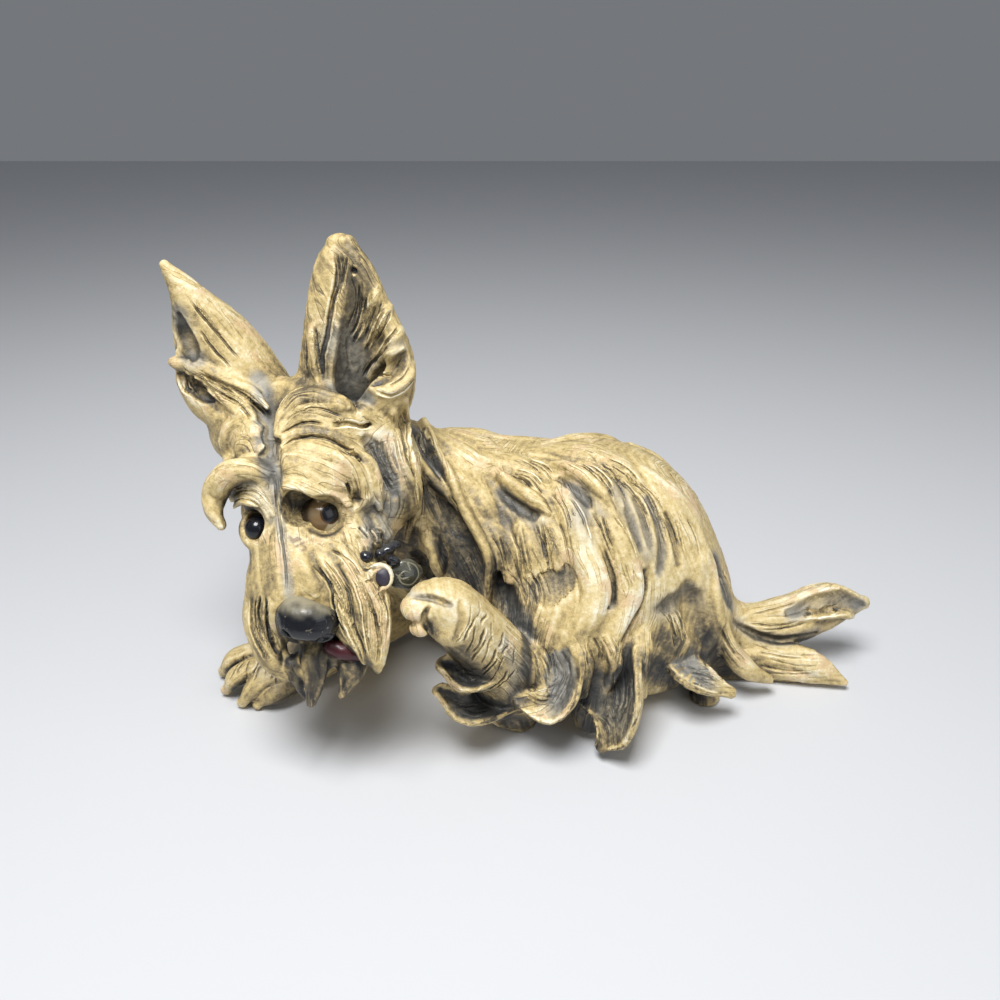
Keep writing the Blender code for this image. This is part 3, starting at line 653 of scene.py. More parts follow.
# %% Brow and eyes
face = [
    fold([(-1, 50), (-2, 36.5), (-3, 24.5), (-2, 14.5)], 6, 2.4, ends=(1.2, 0.3), blend=5, cut=True),
    fold([(1.5, 32), (4.5, 40), (9.5, 44.5), (15.5, 46), (24, 42), (31, 39), (37, 35.5), (41, 32)],
         4.2, 3.2, 0.2, (0.5, 0.8), blend=2.5),
    fold([(2, 31), (8.5, 37.5), (14.5, 38), (21, 37), (27, 34), (33, 28.5)], 3.6, 1.8, 0.2, blend=2),
    fold([(2.5, 27), (8, 31.5), (13.5, 32), (20, 30.5), (26, 27.5), (33, 20)], 3, 1.6, 0.2, blend=2),
    fold([(5, 18), (11, 18.5), (18, 14.5), (22, 8)], 9.5, 4, 0.3, (0.8, 0.7), blend=4, power=2.4),
    fold([(3, 11.5), (7.5, 10.5), (13, 8), (18, 4.5), (23.5, 2.5)], 3.2, 4, 2.4, (0.7, 0.7), blend=3),
    fold([(21, 20.5), (26, 16.5), (29, 10), (30, 3), (27, 0)], 3.6, 4.6, 2.4, (0.5, 0.5), strands=4, groove=0.5),
    fold([(28, 22), (33, 16.5), (35.5, 8.5), (35.5, -1)], 3.4, 4.2, 2.2, (0.4, 0.5), strands=4, groove=0.5),
    fold([(-4.5, 35.5), (-10.5, 37.5), (-16.5, 35), (-19, 29.5)], 4, 3, 0.3, blend=5),
    fold([(-5, 27), (-10.5, 29.5), (-14.5, 28)], 5, 3, 0.3, blend=5),
    Leaf([(-89, -50, 122), (-97, -52, 124), (-105, -53, 122), (-110, -54, 115), (-110, -58, 110), (-107, -61, 105)],
         [4, 5, 5.4, 4.8, 3.8, 2], [6, 7, 7, 6, 4.5, 2.5], OUTFACE, strands=4, groove=0.3, blend=3),
    Egg((-77, -61, 113), (6.5, 7, 9), head=True, blend=1, cut=True),
    Egg((-66, -64, 110), (8.5, 8.5, 9), head=True, blend=1, cut=True),
    Egg((-97, -60, 104), (8, 6.5, 8), head=True, blend=1, cut=True),
    fold([(-19.5, 10), (-13.5, 10.5), (-7.5, 7), (-6, 0.5)], 1.5, 1.8, 0.8),
    fold([(-15.5, 12.5), (-10, 12.5), (-6, 8.5), (-4, 1.5)], 1.4, 1.6, 0.5),
    fold([(-18, 8), (-13, 8.5), (-8.5, 5.5)], 1.4, 2.2, 1.8, blend=0.8),
    Leaf([ahead(6.5, -5, -2.5), ahead(10.5, -9, 0.4), ahead(15.5, -10.4, 1.4), ahead(20.5, -8.6, 0.4), ahead(23, -4, -2)],
         [1.4, 1.7, 1.8, 1.7, 1.4], [2.4, 2.6, 2.6, 2.4, 2], FACE_Z, blend=1.5),
    Leaf([(-101, -55, 99), (-96, -59, 97), (-91, -60, 100)], [1.4, 1.8, 1.4], [2.2, 2.2, 2.2], OUTFACE, blend=2),
    Leaf([ahead(-14.5, 2.5, -12), ahead(-16, -2, -11.5), ahead(-15, -7, -10.5), ahead(-11, -9.5, -9)],
         [1.2, 1.8, 1.8, 1.4], [2, 2.4, 2.4, 2], FACE_Z, blend=2.5),
    fold([(25, -2), (28, -8.5), (28.5, -14.5)], 4, 2, 0, blend=5),
    fold([(36, 27), (39, 17), (43.5, 4)], 3, 1, -0.4, blend=3, cut=True),
    Egg(ahead(40, 28.5, -9), (7, 5, 5), head=True, blend=4),
    fold([(46.5, 36), (46.5, 28), (47, 16), (51.5, 4), (51, -4)], 2.2, 2.6, 0.4, (0.6, 0.6), blend=2.5),
    fold([(52, 40.5), (52.5, 34), (51.5, 20), (53.5, 7), (53, -2)], 1.8, 2.2, 0.4, (0.6, 0.6), blend=2),
]
face_nicks = (
    fan(on_head, [(4, 33), (9, 37), (15, 38), (24, 35)], [(5, 43), (10, 47), (16, 48), (26, 44)], 6, 0.32, 0.5)
    + fan(on_head, [(22, 19), (27, 15), (28, 9), (27, 3)], [(25, 22), (31, 17), (33, 10), (32.5, 2)], 4, 0.35, 0.7)
    + fan(on_head, [(29, 22), (33, 16.5), (34.5, 8.5), (34, 0)], [(32, 24), (36.5, 18), (38, 9), (37.5, 0)], 3, 0.35, 0.7)
    + fan(on_head, [(35, 26), (37, 17), (40, 6)], [(45, 27), (45.5, 17), (49, 5)], 7, 0.4, 0.7)
    + fan(on_head, [(38, 8), (36, 0), (32, -6)], [(47, 4), (46, -4), (42, -10)], 5, 0.3, 0.45)
    + fan(on_head, [(45, 36), (45, 28), (45.5, 16), (49.5, 4)], [(53, 40), (54, 30), (53, 18), (55, 6)], 5, 0.35, 0.7)
    + fan(on_head, [(49, 38), (49, 25), (50, 10), (52, -4)], [(58, 38), (58, 25), (57, 10), (57, 0)], 5, 0.5, 1.1)
    + fan(on_head, [(-19, 13), (-13, 14), (-6, 10), (-4, 2)], [(-17, 9), (-12, 9.5), (-8, 6), (-6.5, 1)], 4, 0.35, 0.8)
    + fan(on_head, [(6, 14), (11, 15), (17, 12)], [(5, 24), (12, 24), (20, 19)], 3, 0.3, 0.25))
face_nicks += [
    nick([(26.5, -23), (29, -24.5)], 0.4, 1), nick([(26, -28), (29, -27.5)], 0.4, 1), nick([(30, -32), (31, -29)], 0.4, 1),
    nick([(34, -21.5), (33, -24)], 0.4, 1), nick([(37, -25), (34.5, -26)], 0.4, 1), nick([(26, -8), (28.5, -13)], 0.6, 1.2), nick([(30, -9), (32, -15)], 0.6, 1.2), nick([(34, -9), (36, -16)], 0.6, 1.2),
    nick([(22, 33), (28, 33), (33.5, 31.5), (40, 30)], 0.68, 1.6),
    nick([(3.5, 41.5), (8, 46), (14.5, 48.5)]),
    nick([(12, 38.5), (15.5, 40.5), (21, 38.5), (26, 35.5)]),
    nick([(3.5, 31.5), (8, 34), (13.5, 35), (19.5, 33.5)]),
    nick([(2, 26), (6.5, 28.5), (12, 29.3), (18.5, 28), (25, 24), (30, 20)], 0.51, 1.2),
    nick([(20, 14.5), (23.5, 10.5), (25, 5)], 0.59, 1.6),
    nick([(22.5, 22.5), (28.5, 18), (32.5, 11.5), (33.5, 3)], 0.51, 1.6),
    nick([(-20, 36), (-20, 30.5)], 0.94, 1.6),
    nick([(36, 25.5), (39, 17), (43.5, 7)]),
    nick([(38.5, 26), (41.5, 17.5), (45, 10)]),
    nick([(38, 14.5), (42.5, 5)], 0.51, 1.2),
    nick([(-2.5, 20), (-2, 5), (-2, -3.5), (-2, -12), (-2, -20.5), (-3, -28)], 0.5, 0.7),
]
fly_eye = [
    Egg(ahead(31.5, -26.6, 8), (5, 5.2, 6), head=True, blend=2),
    fold([(26, -9), (30, -12), (36, -14)], 3.2, 2, 0.3, blend=0.8, strands=5, groove=0.9),
    fold([(27, -14), (33, -10.5), (38, -11)], 2, 2.2, 0.4, blend=0.6),
    ring((31.5, -26.6, 12.4), 4.6, 1.0, blend=1),
    Egg(ahead(32.2, -27, 14.5), (3.4, 3.6, 2.2), head=True, blend=0.6, cut=True),
    fold([(32, 3), (35.5, -5), (38, -12)], 3, 1.8, 0.4, (0.3, 1.2), blend=0.8),
]
print("forms of the brow:", len(face))

# %% Muzzle, moustache and beard
muzzle = [
    fold([(11.5, -17), (15.5, -25.5), (16.5, -35), (18.5, -46), (22, -58)], 2.6, 1.6, 0.3, blend=2),
    fold([(19, -14), (22.5, -26), (25.5, -40), (26, -51.5), (27, -60)], 2.6, 1.6, 0.3, blend=2),
    fold([(26, -28), (30, -39.5), (30, -50), (28, -59)], 2, 1.6, 0.3, blend=2),
    fold([(3, -15), (6, -24), (8, -30)], 3, 2, 0, blend=3),
    Egg(ahead(-3.5, -50.5, 3), (6, 4, 9), head=True, blend=1.5, cut=True),
    Egg(ahead(10, -54, -7), (12, 6, 7), head=True, blend=4),
    Leaf([ahead(6, -50, -5), ahead(4.6, -56, -2.5), ahead(3.5, -62, -2), ahead(2.4, -67, -2.5), ahead(1, -72, -3)],
         [5.5, 6.2, 4.6, 3.6, 2.2], [5, 5, 4.5, 4, 2.5], FACE_Z, strands=6, groove=0.9, blend=3),
    Leaf([ahead(19, -53, -4), ahead(18.5, -58, -2), ahead(16.5, -64, -1), ahead(12.6, -71, -2)],
         [5, 6.5, 5, 1.4], [5, 5, 4, 2], FACE_Z, strands=6, groove=0.9, blend=2.5),
    Leaf([ahead(-3, -58, -9), ahead(-2, -64, -9), ahead(-1, -70, -10)], [5, 4, 2], [5, 4, 2], FACE_Z,
         strands=4, groove=0.9, blend=3),
    fold([(-9.5, -30), (-8.5, -38), (-8, -46), (-6, -54)], 2.2, 2, 0.2, blend=1.5),
    Leaf([(-104, -20, 108), (-103, -24, 88), (-94, -32, 66)], [8, 10, 3], [5, 6, 3], (-0.9, 0.3, 0.2),
         strands=6, groove=0.8),
    Leaf([(-98, -4, 108), (-96, -4, 86), (-86, -10, 64)], [8, 10, 3], [5, 6, 3], (-0.8, 0.6, 0.2),
         strands=6, groove=0.8),
    Leaf([(-88, 8, 112), (-84, 12, 92), (-74, 8, 70)], [8, 10, 3], [5, 6, 3], (-0.5, 0.8, 0.2),
         strands=6, groove=0.8),
]
muzzle_nicks = (
    fan(on_head, [(9, -18), (13, -27), (14.5, -38), (19.5, -54)], [(25, -21), (31, -36), (30.5, -48), (27.5, -59)],
        11, 0.36, 0.8)
    + fan(on_head, [(15, -10), (21, -15), (26, -23)], [(24, -10), (27, -16), (30, -24)], 4, 0.35, 0.5)
    + fan(on_head, [(-16.5, -27), (-17.5, -36), (-15, -46), (-11, -55)],
          [(-8, -27), (-10, -36), (-9, -46), (-8, -54)], 5, 0.36, 0.8))
muzzle_nicks += [
    nick([(8, -19), (12, -24), (14, -30), (13.5, -34.5), (15.5, -42.5), (18.5, -50.5)], 0.59, 1.3),
    nick([(14.5, -28.5), (18, -37.5), (21, -47), (23, -56)], 0.51, 1.2),
    nick([(21.5, -23.5), (24, -34.5), (24, -46), (25, -57)], 0.51, 1.2),
    nick([(25, -28.5), (27.5, -39), (28, -49.5), (26.5, -58)], 0.51, 1.2),
    nick([(32, -32.5), (32.5, -40), (30, -50)]),
    nick([(15.5, -14.5), (21.5, -19.5), (24.5, -25.5)]),
    nick([(12.5, -18), (16.5, -25.5), (18.5, -33.5)]),
    nick([(18.5, -15.5), (22.5, -24.5), (25.5, -34)]),
    nick([(17, -40), (20, -50), (22.5, -58)]),
    nick([(-12.5, -28), (-14.5, -35.5), (-14, -44)], 0.59, 1.3),
    nick([(-9.5, -29), (-11.5, -36), (-11, -45.5), (-9, -52)], 0.68, 1.4),
    nick([(-15.5, -28), (-17.5, -36), (-16.5, -45), (-13, -54)]),
]
print("forms of the muzzle:", len(muzzle))

# %% [markdown]
# ## Inside the ears
# The near ear has a flat band down its left side, a step, and a bowl whose far wall is combed with
# slanting ridges. The far ear is seen from its back, with long folds that run down to the brow.

# %% Inside the ears
ear_work = [
    fold([(19.5, 73), (19, 62.5), (19.5, 51)], 2, 2, 0.3, blend=2),
    fold([(39.5, 46), (44, 43.5), (50, 45), (55, 49.5), (57, 55)], 2.2, 1.8, 0.2, blend=2),
    fold([(40.5, 52), (44, 56), (48, 58), (52.5, 60)], 1.8, 2.2, 0.2, blend=1.5),
    fold([(40.5, 47.5), (44.5, 50.5), (50, 54), (54.5, 57.5)], 3.2, 3.4, blend=1.2, cut=True),
    fold([(-30.5, 84), (-29.5, 77), (-28, 71), (-27, 67)], 4.2, 5, blend=1, cut=True),
    fold([(-33.5, 63.5), (-30, 58.5), (-26, 54), (-21.5, 51)], 3.6, 3.6, blend=1.2, cut=True),
    fold([(-36, 69), (-33.5, 66.5), (-29, 66.5)], 2.4, 2.4, 0.6, blend=1.5),
    fold([(50.5, 77.5), (45.5, 71), (40, 64.5)], 2, 1.8, 0.2, blend=2),
    fold([(54, 68), (49, 63), (44, 57.5)], 2.2, 1.8, 0.2, blend=2),
    fold([(46, 84), (42, 76), (37, 68)], 1.8, 1.4, 0.2, blend=2),
    fold([(-25, 65), (-16.5, 58.5), (-7, 52), (-1, 43.5)], 2.6, 2.6, 0.3, blend=3),
    fold([(-33, 66), (-25.5, 61), (-18.5, 52), (-12, 43)], 2.4, 2.6, 0.3, blend=3),
    fold([(-20, 56), (-12, 49), (-6, 41)], 2, 2.2, 0.2, blend=2),
]
ear_nicks = (
    fan(on_head, [(36, 90), (37, 80), (33, 70)], [(50, 76), (46, 69), (41, 61)], 7, 0.4, 0.9)
    + fan(on_head, [(-26, 64), (-17, 58), (-8, 51), (-2, 43)], [(-33, 62), (-24, 56), (-16, 48), (-10, 41)],
          6, 0.4, 0.9)
    + fan(on_head, [(-31, 65), (-28, 60.5), (-24.5, 56), (-20.5, 52.5)], [(-34, 62), (-32, 56), (-28, 51.5)], 4,
          0.5, 1.3)
    + fan(on_head, [(15, 70), (15, 60), (15, 52)], [(21, 74), (20, 62), (20, 52)], 4, 0.35, 0.6)
    + fan(on_head, [(-27, 92), (-21, 82), (-14, 72)], [(-18, 92), (-10, 80), (-3, 68)], 5, 0.32, 0.35))
ear_nicks += [
    nick([(31.5, 98.5), (31.5, 91.5), (29, 82.5), (26.5, 75.5), (25.5, 70.5), (22.5, 62), (21, 51)], 0.8, 1.2),
    nick([(32, 98), (32, 89), (29, 81.5), (27, 76.5)], 0.42, 1.2),
    nick([(33.5, 97), (33.5, 90), (30.5, 82)]),
    nick([(35.5, 96.5), (34, 90.5), (32.5, 85)]),
    nick([(39.5, 82.5), (38, 74.5), (34, 68)], 0.42, 1.2),
    nick([(41.5, 81), (39, 73), (35, 66.5)]),
    nick([(36.5, 91.5), (38.5, 90.3)], 0.9, 1.5),
    nick([(43.5, 79), (39.5, 72), (34.5, 65)], 0.42, 1.2),
    nick([(47.5, 74.5), (44, 68.5), (39.5, 62.5)], 0.59, 1.2),
    nick([(51.5, 68), (47, 62.5), (41.5, 56.5)], 0.59, 1.2),
    nick([(21, 73), (21, 62.5), (21.5, 52)], 0.51, 1.1),
    nick([(42, 50), (47, 53), (52.5, 57)], 0.5, 1.0),
    nick([(41, 44.8), (46, 42.7), (52, 45.5), (56, 50)], 0.5, 1.1),
    nick([(46, 46), (50.5, 48), (54.5, 52.5)], 0.4, 0.8),
    nick([(38, 53), (42, 58), (48, 61)], 0.5, 1.1),
    nick([(-17.5, 53), (-11.5, 47), (-7, 40)], 0.51, 1.2),
    nick([(-14, 54.5), (-8, 49), (-3.5, 42)], 0.42, 1.1),
    nick([(-23.5, 61), (-17.5, 56), (-12, 51)]),
    nick([(-25, 89), (-20.5, 81.5), (-15, 73.5), (-9.5, 65)]),
    nick([(-23, 77.5), (-18.5, 69.5), (-13, 62)]),
]
print("forms of the ears:", len(ear_work))

# %% [markdown]
# ## Legs, skirt and tail
# The raised forepaw shows its knuckle, a toe and a claw, and its foreleg is wrapped in wrinkled
# skin with two frills of hair at the elbow. Along the belly hang cup-shaped curls, and the tail
# parts into two lobes, the upper one hollowed out. Marks for their cuts lie on a plane that faces
# the viewer: millimetres to the right and up from a point in front of the elbow.

# %% Legs
legs = [
    Leaf([(-28, 32, 38), (-45, 19, 21), (-68, -1, 15), (-90, -21, 13)], [19, 16, 14, 14], [18, 15, 13, 12],
         (0, 0, 1), blend=8),
    Egg((-103, -30, 10), (14, 13, 11), blend=4),
    Leaf([(-106, -18, 12), (-117, -20, 14), (-126, -22, 12), (-131, -22, 6)], [5.5, 4.6, 4.2, 2.6], [6, 6, 6, 4], blend=1),
    Leaf([(-104, -26, 13), (-115, -31, 13), (-122, -34, 10.5), (-126, -34, 5)], [5.5, 4.8, 4.4, 2.6], [6, 6, 6, 4],
         blend=1),
    Leaf([(-99, -33, 13), (-107, -38, 12), (-113, -41, 8.5), (-117, -42, 4)], [5.5, 5, 4.4, 2.6], [6, 6, 6, 4], blend=1),
    Leaf([(-94, -36, 9), (-101, -42, 8), (-106, -43, 6), (-109, -43, 3.5)], [5, 4.6, 4, 2.4], [5, 5, 4, 3], blend=1),
    Egg((-132.5, -22, 4), (2.6, 2, 2.6), blend=0.8),
    Egg((-127.5, -35, 3.5), (2.6, 2, 2.6), blend=0.8),
    Egg((-118, -43, 3), (2.6, 2.2, 2.8), blend=0.8),
    Egg((-110.5, -44, 2.8), (2.4, 2.2, 2.6), blend=0.8),
    Leaf([(5, -50, 15), (1, -60, 37), (-10, -68, 60), (-19, -74, 75)],
         [16, 15, 13, 12], [16, 14, 13, 12], blend=4),
    Egg((-24, -76, 79), (12, 10, 10), blend=3),
    Egg((-18, -79, 71), (9, 8.5, 7.5), blend=1.5),
    Egg((-30, -81, 81), (7.5, 7, 5), blend=2),
    Egg((-30, -85.5, 74.5), (4, 3.5, 3.2), blend=0.8),
    Leaf([(0, -60, 36), (-13, -72, 39), (-24, -76, 50)], [11, 10, 4], [4, 3, 2], (-0.3, -0.35, 0.9),
         cup=(2, 5, 3), strands=6, groove=0.6, power=3, name="frill"),
    Leaf([(4, -58, 18), (-12, -70, 21), (-26, -72, 34)], [11, 10, 3.5], [4, 3, 2], (-0.3, -0.35, 0.9),
         cup=(2, 5, 3), strands=6, groove=0.6, power=3, name="frill"),
]
print("forms of the legs:", len(legs))

# %% Skirt of curled locks
skirt = [
    Leaf([(26, -50, 44), (29, -64, 33), (22, -72, 25), (7, -72, 29)], [7, 9.5, 9.5, 3], [4, 3.5, 3, 2],
         (-0.5, -0.45, 0.75), cup=(2, 6, 6, 1), strands=7, groove=0.6, power=3, name="cup"),
    Leaf([(57, -50, 40), (55, -62, 28), (51, -71, 15), (43, -75, 6)], [8, 13, 12, 3], [6, 4, 3.5, 2.5],
         (-0.75, -0.65, 0.15), cup=(3, 9, 9, 1), strands=9, groove=0.7, blend=2.5, power=3, name="curl"),
    Leaf([(60, -48, 48), (60, -57, 42), (58, -63, 35), (60, -64, 26)], [4, 5, 4.5, 2.5], [4, 5, 5, 3],
         strands=5, groove=0.7),
    Leaf([(78, -38, 26), (84, -50, 24), (103, -50, 14)], [6, 8, 2.5], [4, 3.5, 2], (0, -0.5, 0.85),
         cup=(2, 4, 0), strands=6, groove=0.6, power=3, name="leaf"),
    Leaf([(13, -58, 42), (16, -64, 36), (17, -66, 27)], [4, 5, 3], [4, 5, 3], strands=5, groove=0.8, blend=3),
    Leaf([(33, -60, 48), (34, -66, 42), (34, -69, 31)], [4, 5, 3], [4, 5, 3], strands=5, groove=0.8, blend=3),
    Leaf([(46, -58, 48), (48, -62, 40), (46, -63, 30)], [3, 4, 2.5], [4, 4, 3], strands=4, groove=0.8, blend=3),
    Egg((9, -52, 3), (8, 8, 7), blend=3),
    Egg((40, -60, 16), (10, 9, 14), blend=5),
    Egg((95, -36, 2), (7, 7, 5), blend=3),
]
print("forms of the skirt:", len(skirt))

# %% Tail
tail = [
    Leaf([(97, -8, 21), (119, -8, 20), (140, -8, 25), (158, -6, 31), (175, -5, 32)],
         [20, 12, 12.5, 12, 3.5], [16, 11, 10, 8, 3], strands=7, groove=1.0, blend=8),
    Leaf([(98, -12, 10), (122, -18, 9), (146, -24, 9), (162, -30, 4)],
         [16, 11, 9, 2], [14, 9, 7, 2], strands=6, groove=1.0, blend=4),
    Leaf([(88, -28, 70), (97, -22, 45), (102, -32, 30), (112, -36, 17), (125, -34, 9)],
         [3, 5, 5, 5, 2], [4, 6, 6, 5, 3], strands=3, groove=0.6, blend=3),
]
limb_clay = Clay((-140, -100, -6), (184, 76, 142))
for form in trunk + legs + skirt + tail:
    limb_clay.press(form)
on_limb = from_front(limb_clay, (0, -60, 50), (1, 0, 0), (0, 0.454, 0.891), (0, -0.891, 0.454))
tail += [
    ridge(on_limb, [(108, 3), (120, -5), (134, -8), (150, -5)], 2, 3, cut=True, blend=1.2),
    ridge(on_limb, [(136, 5), (150, 9), (163, 11), (173, 8)], 5, 3.8, cut=True, blend=1.5),
    ridge(on_limb, [(150, 3), (160, 5), (169, 3)], 2, 2.4, 1, blend=1.5),
]
legs += [
    ridge(on_limb, [(-33, 22), (-26, 22), (-18, 19)], 1.2, 1.6, cut=True, blend=1),
    ridge(on_limb, [(-26, 19), (-28, 15), (-26, 8)], 1.2, 2, cut=True, blend=0.8),
    ridge(on_limb, [(-15, 20), (-14, 14), (-17, 6)], 1.2, 1, cut=True, blend=1.5),
]
limb_nicks = (
    fan(on_limb, [(-11, 19), (-13, 11), (-17, 3)], [(6, -9), (1, -17), (-8, -25)], 11, 0.5, 1)
    + fan(on_limb, [(-8, 20), (-10, 12)], [(7, -2), (4, -10)], 6, 0.5, 0.9)
    + fan(on_limb, [(-20, -7), (-14, -9), (-8, -9)], [(-17, -12), (-12, -14), (-5, -13)], 4, 0.4, 0.6)
    + fan(on_limb, [(-21, -23), (-14, -26), (-5, -27)], [(-16, -29), (-10, -31), (-2, -29)], 4, 0.4, 0.6)
    + fan(on_limb, [(11, -3), (14, -11), (15, -20)], [(25, -3), (28, -11), (29, -18)], 7, 0.4, 0.6)
    + fan(on_limb, [(31, 2), (34, -6), (35, -15)], [(47, 3), (50, -4), (49, -14)], 8, 0.4, 0.6)
    + fan(on_limb, [(12, -17), (18, -20), (26, -18)], [(9, -22), (17, -26), (26, -25)], 5, 0.4, 0.6)
    + fan(on_limb, [(47, -12), (47, -26), (44, -38)], [(57, -16), (56, -28), (50, -39)], 7, 0.4, 0.6)
    + fan(on_limb, [(80, -14), (90, -17), (102, -23)], [(82, -20), (90, -23), (98, -26)], 4, 0.4, 0.6)
    + fan(on_limb, [(116, 6), (133, 10), (146, 15)], [(116, -2), (135, -3), (150, 2)], 5, 0.4, 0.6)
    + fan(on_limb, [(118, -9), (133, -13), (151, -15)], [(121, -22), (138, -24), (152, -22)], 5, 0.4, 0.6)
    + fan(on_limb, [(142, 6), (154, 10), (168, 12)], [(142, 2), (154, 5), (168, 6)], 5, 0.6, 1.2)
    + fan(on_limb, [(96, 4), (102, -7), (110, -16)], [(99, 3), (105, -8), (113, -17)], 3, 0.5, 1)
    + fan(on_limb, [(-120, -14), (-122, -18), (-123, -25)], [(-98, -14), (-100, -20), (-101, -27)], 8, 0.5, 0.9)
)
print("forms of the tail:", len(tail), "cuts on legs, skirt and tail:", len(limb_nicks))


# %% [markdown]
# ## Sculpting the two parts of the casting
# The head has the finest carving, so it gets a fine grid of its own, and the body another. Both
# are closed and run into each other inside the neck, where the mane's ridges cover the seam.

# %% Value noise
def chance(cell, seed):
    """A repeatable number from 0 to 1 for each whole-numbered cell: scrambled bits."""
    mix = (cell[..., 0] * 73856093) ^ (cell[..., 1] * 19349663) ^ (cell[..., 2] * 83492791) ^ (seed * 2654435)
    mix = (mix ^ (mix >> 13)) * 1274126177 & 0xFFFFFFFF
    mix = (mix ^ (mix >> 16)) * 1103515245 & 0xFFFFFFFF
    return ((mix >> 8) & 0xFFFF) / 65535.0


def noise(points, size, seed=1):
    """Smooth noise from -1 to 1: the cell's eight corner values, mixed by a smooth step."""
    place = np.asarray(points, float) / size
    cell = np.floor(place).astype(np.int64)
    part = place - cell
    part = part * part * (3 - 2 * part)
    total = 0
    for corner in np.ndindex(2, 2, 2):
        total = total + np.prod(np.where(corner, part, 1 - part), -1) * chance(cell + np.array(corner), seed)
    return total * 2 - 1


# %% Hair direction
def trunk_flow(points):
    """Across and along the hair on the bare trunk: along runs round the spine from the back to the
    belly, across follows the spine less the sideways lean that the locks show."""
    y = points[:, 1] - np.interp(points[:, 0], SPINE_X, SPINE_Y)
    z = points[:, 2] - np.interp(points[:, 0], SPINE_X, SPINE_Z)
    turn = np.abs(np.degrees(np.arctan2(-y, z)))
    mane = 0.55 * turn
    flank = np.interp(turn, (0, 30, 55, 70, 110), (-6, 8, 20, 21, 10))
    share = np.clip((points[:, 0] + 20) / 35, 0, 1)
    return points[:, 0] - mane + (mane - flank) * share, turn * 0.8


def head_flow(points):
    """Hair on the head runs out from the bridge of the nose: across is the angle about it."""
    away = (points - HEAD_AT) @ HEAD
    return np.arctan2(away[:, 1], away[:, 0]) * 26, np.hypot(away[:, 0], away[:, 1])


def hair(points, forms, plain):
    """Hair coordinates at each point, from the form whose skin it lies on, or else the plain flow."""
    across, along = plain(points)
    best = np.full(len(points), 0.9)
    owner = np.zeros(len(points))
    for number, form in enumerate(forms):
        if form.cut or isinstance(form, Egg):
            continue
        rows = np.flatnonzero(((points > form.low - 2) & (points < form.high + 2)).all(1))
        if not len(rows):
            continue
        rows = rows[form.near(points[rows], 2)]
        gap, a, s = form.distance(points[rows], flow=True)
        won = np.abs(gap) < best[rows]
        rows = rows[won]
        best[rows], owner[rows] = np.abs(gap[won]), number + 1
        across[rows], along[rows] = a[won] + 17.3 * number, s[won]
    return across, along, owner


# %% Combing
RAKE = 1.8


def rake(points, strokes):
    """Clusters of parallel cuts: within each stroke, the teeth's number across it (in units of
    RAKE millimetres), the way along it, and how deep the teeth bite, which fades at its rim."""
    teeth, along, bite = np.zeros(len(points)), np.zeros(len(points)), np.zeros(len(points))
    for number, stroke in enumerate(strokes):
        rows = np.flatnonzero(((points > stroke.low - 1) & (points < stroke.high + 1)).all(1))
        if not len(rows):
            continue
        a, b, end, w, d, _, s = stroke.local(points[rows])
        fade = np.clip(1.25 - (a / w) ** 2 - (b / d) ** 4, 0, 1) * np.clip(5 * s, 0, 1) * np.clip(5 - 5 * s, 0, 1)
        fade = fade * (np.abs(end) < 0.5)
        won = fade > bite[rows]
        rows, a, s, fade = rows[won], a[won], s[won], fade[won]
        bite[rows] = fade
        teeth[rows] = a / RAKE + 0.35 * np.sin(s * 5 + number) + 0.25 * np.sin(s * 11 + a) + number
        along[rows] = s * stroke.length
    return teeth, along, bite


def tooth(teeth):
    """1 in the middle of a cut and 0 on the ridge between two."""
    return np.clip(1 - np.abs(teeth - np.floor(teeth) - 0.5) / 0.3, 0, 1)


def cuts_at(points, nicks, group):
    """For every second nick from group on: how many half-widths the nearest one is away, with a
    sign, and how strongly it cuts here, which fades off before a neighbour can take over."""
    side, force = np.full(len(points), 9.0), np.zeros(len(points))
    for guide, width, depth in nicks[group::2]:
        rows = np.flatnonzero(((points > guide.low) & (points < guide.high)).all(1))
        if not len(rows):
            continue
        a, b, end, _, _, _, s = guide.local(points[rows])
        a = a / width + 0.5 * noise(points[rows], 2.5, 9)
        on = (np.abs(b) < 3.5) & (np.abs(end) < 1) & (np.abs(a) < np.abs(side[rows])) & (np.abs(a) < 3)
        rows, a, s = rows[on], a[on], s[on]
        side[rows] = a
        force[rows] = np.clip((3 - np.abs(a)) * 1.2, 0, 1) * np.clip(7 * s, 0, 1) * np.clip(7 - 7 * s, 0, 1) * depth
    return side, force


def stroke(points, width, reach=7.0):
    """The path and half-width of one cluster of cuts; it bites within reach of the path."""
    return Leaf(points, [width, width], [reach, reach])


# %% Brushwork
# The first layer holds the dark antiquing glaze and also painted shade: many of its strokes darken places that lie in
# shade, such as the eye sockets, under the nose and jaw, the beard, the mane's hollow under the head, the belly and
# the insides of the curls.
GLAZE_AND_SHADE, DUST, WORN = 0, 1, 2


def dab(layer, marks, radius, strength):
    """A brush stroke on the head: its layer, path, reach and strength."""
    marks = np.asarray(marks, float)
    return layer, on_head(curve(marks, 2 * len(marks)))[0], radius, strength


def stain(layer, points, radius, strength):
    """A brush stroke through points in space, for forms that stand off the head's skin."""
    return layer, curve(points, 2 * len(points)), radius, strength


def smear(layer, track, radius, strength):
    """A brush stroke on the trunk, along (along, angle) places."""
    return layer, on_trunk(curve(track, 2 * len(track)))[0], radius, strength


def wash(layer, marks, radius, strength):
    """A brush stroke on the legs, the skirt or the tail."""
    return layer, on_limb(curve(marks, 2 * len(marks)))[0], radius, strength


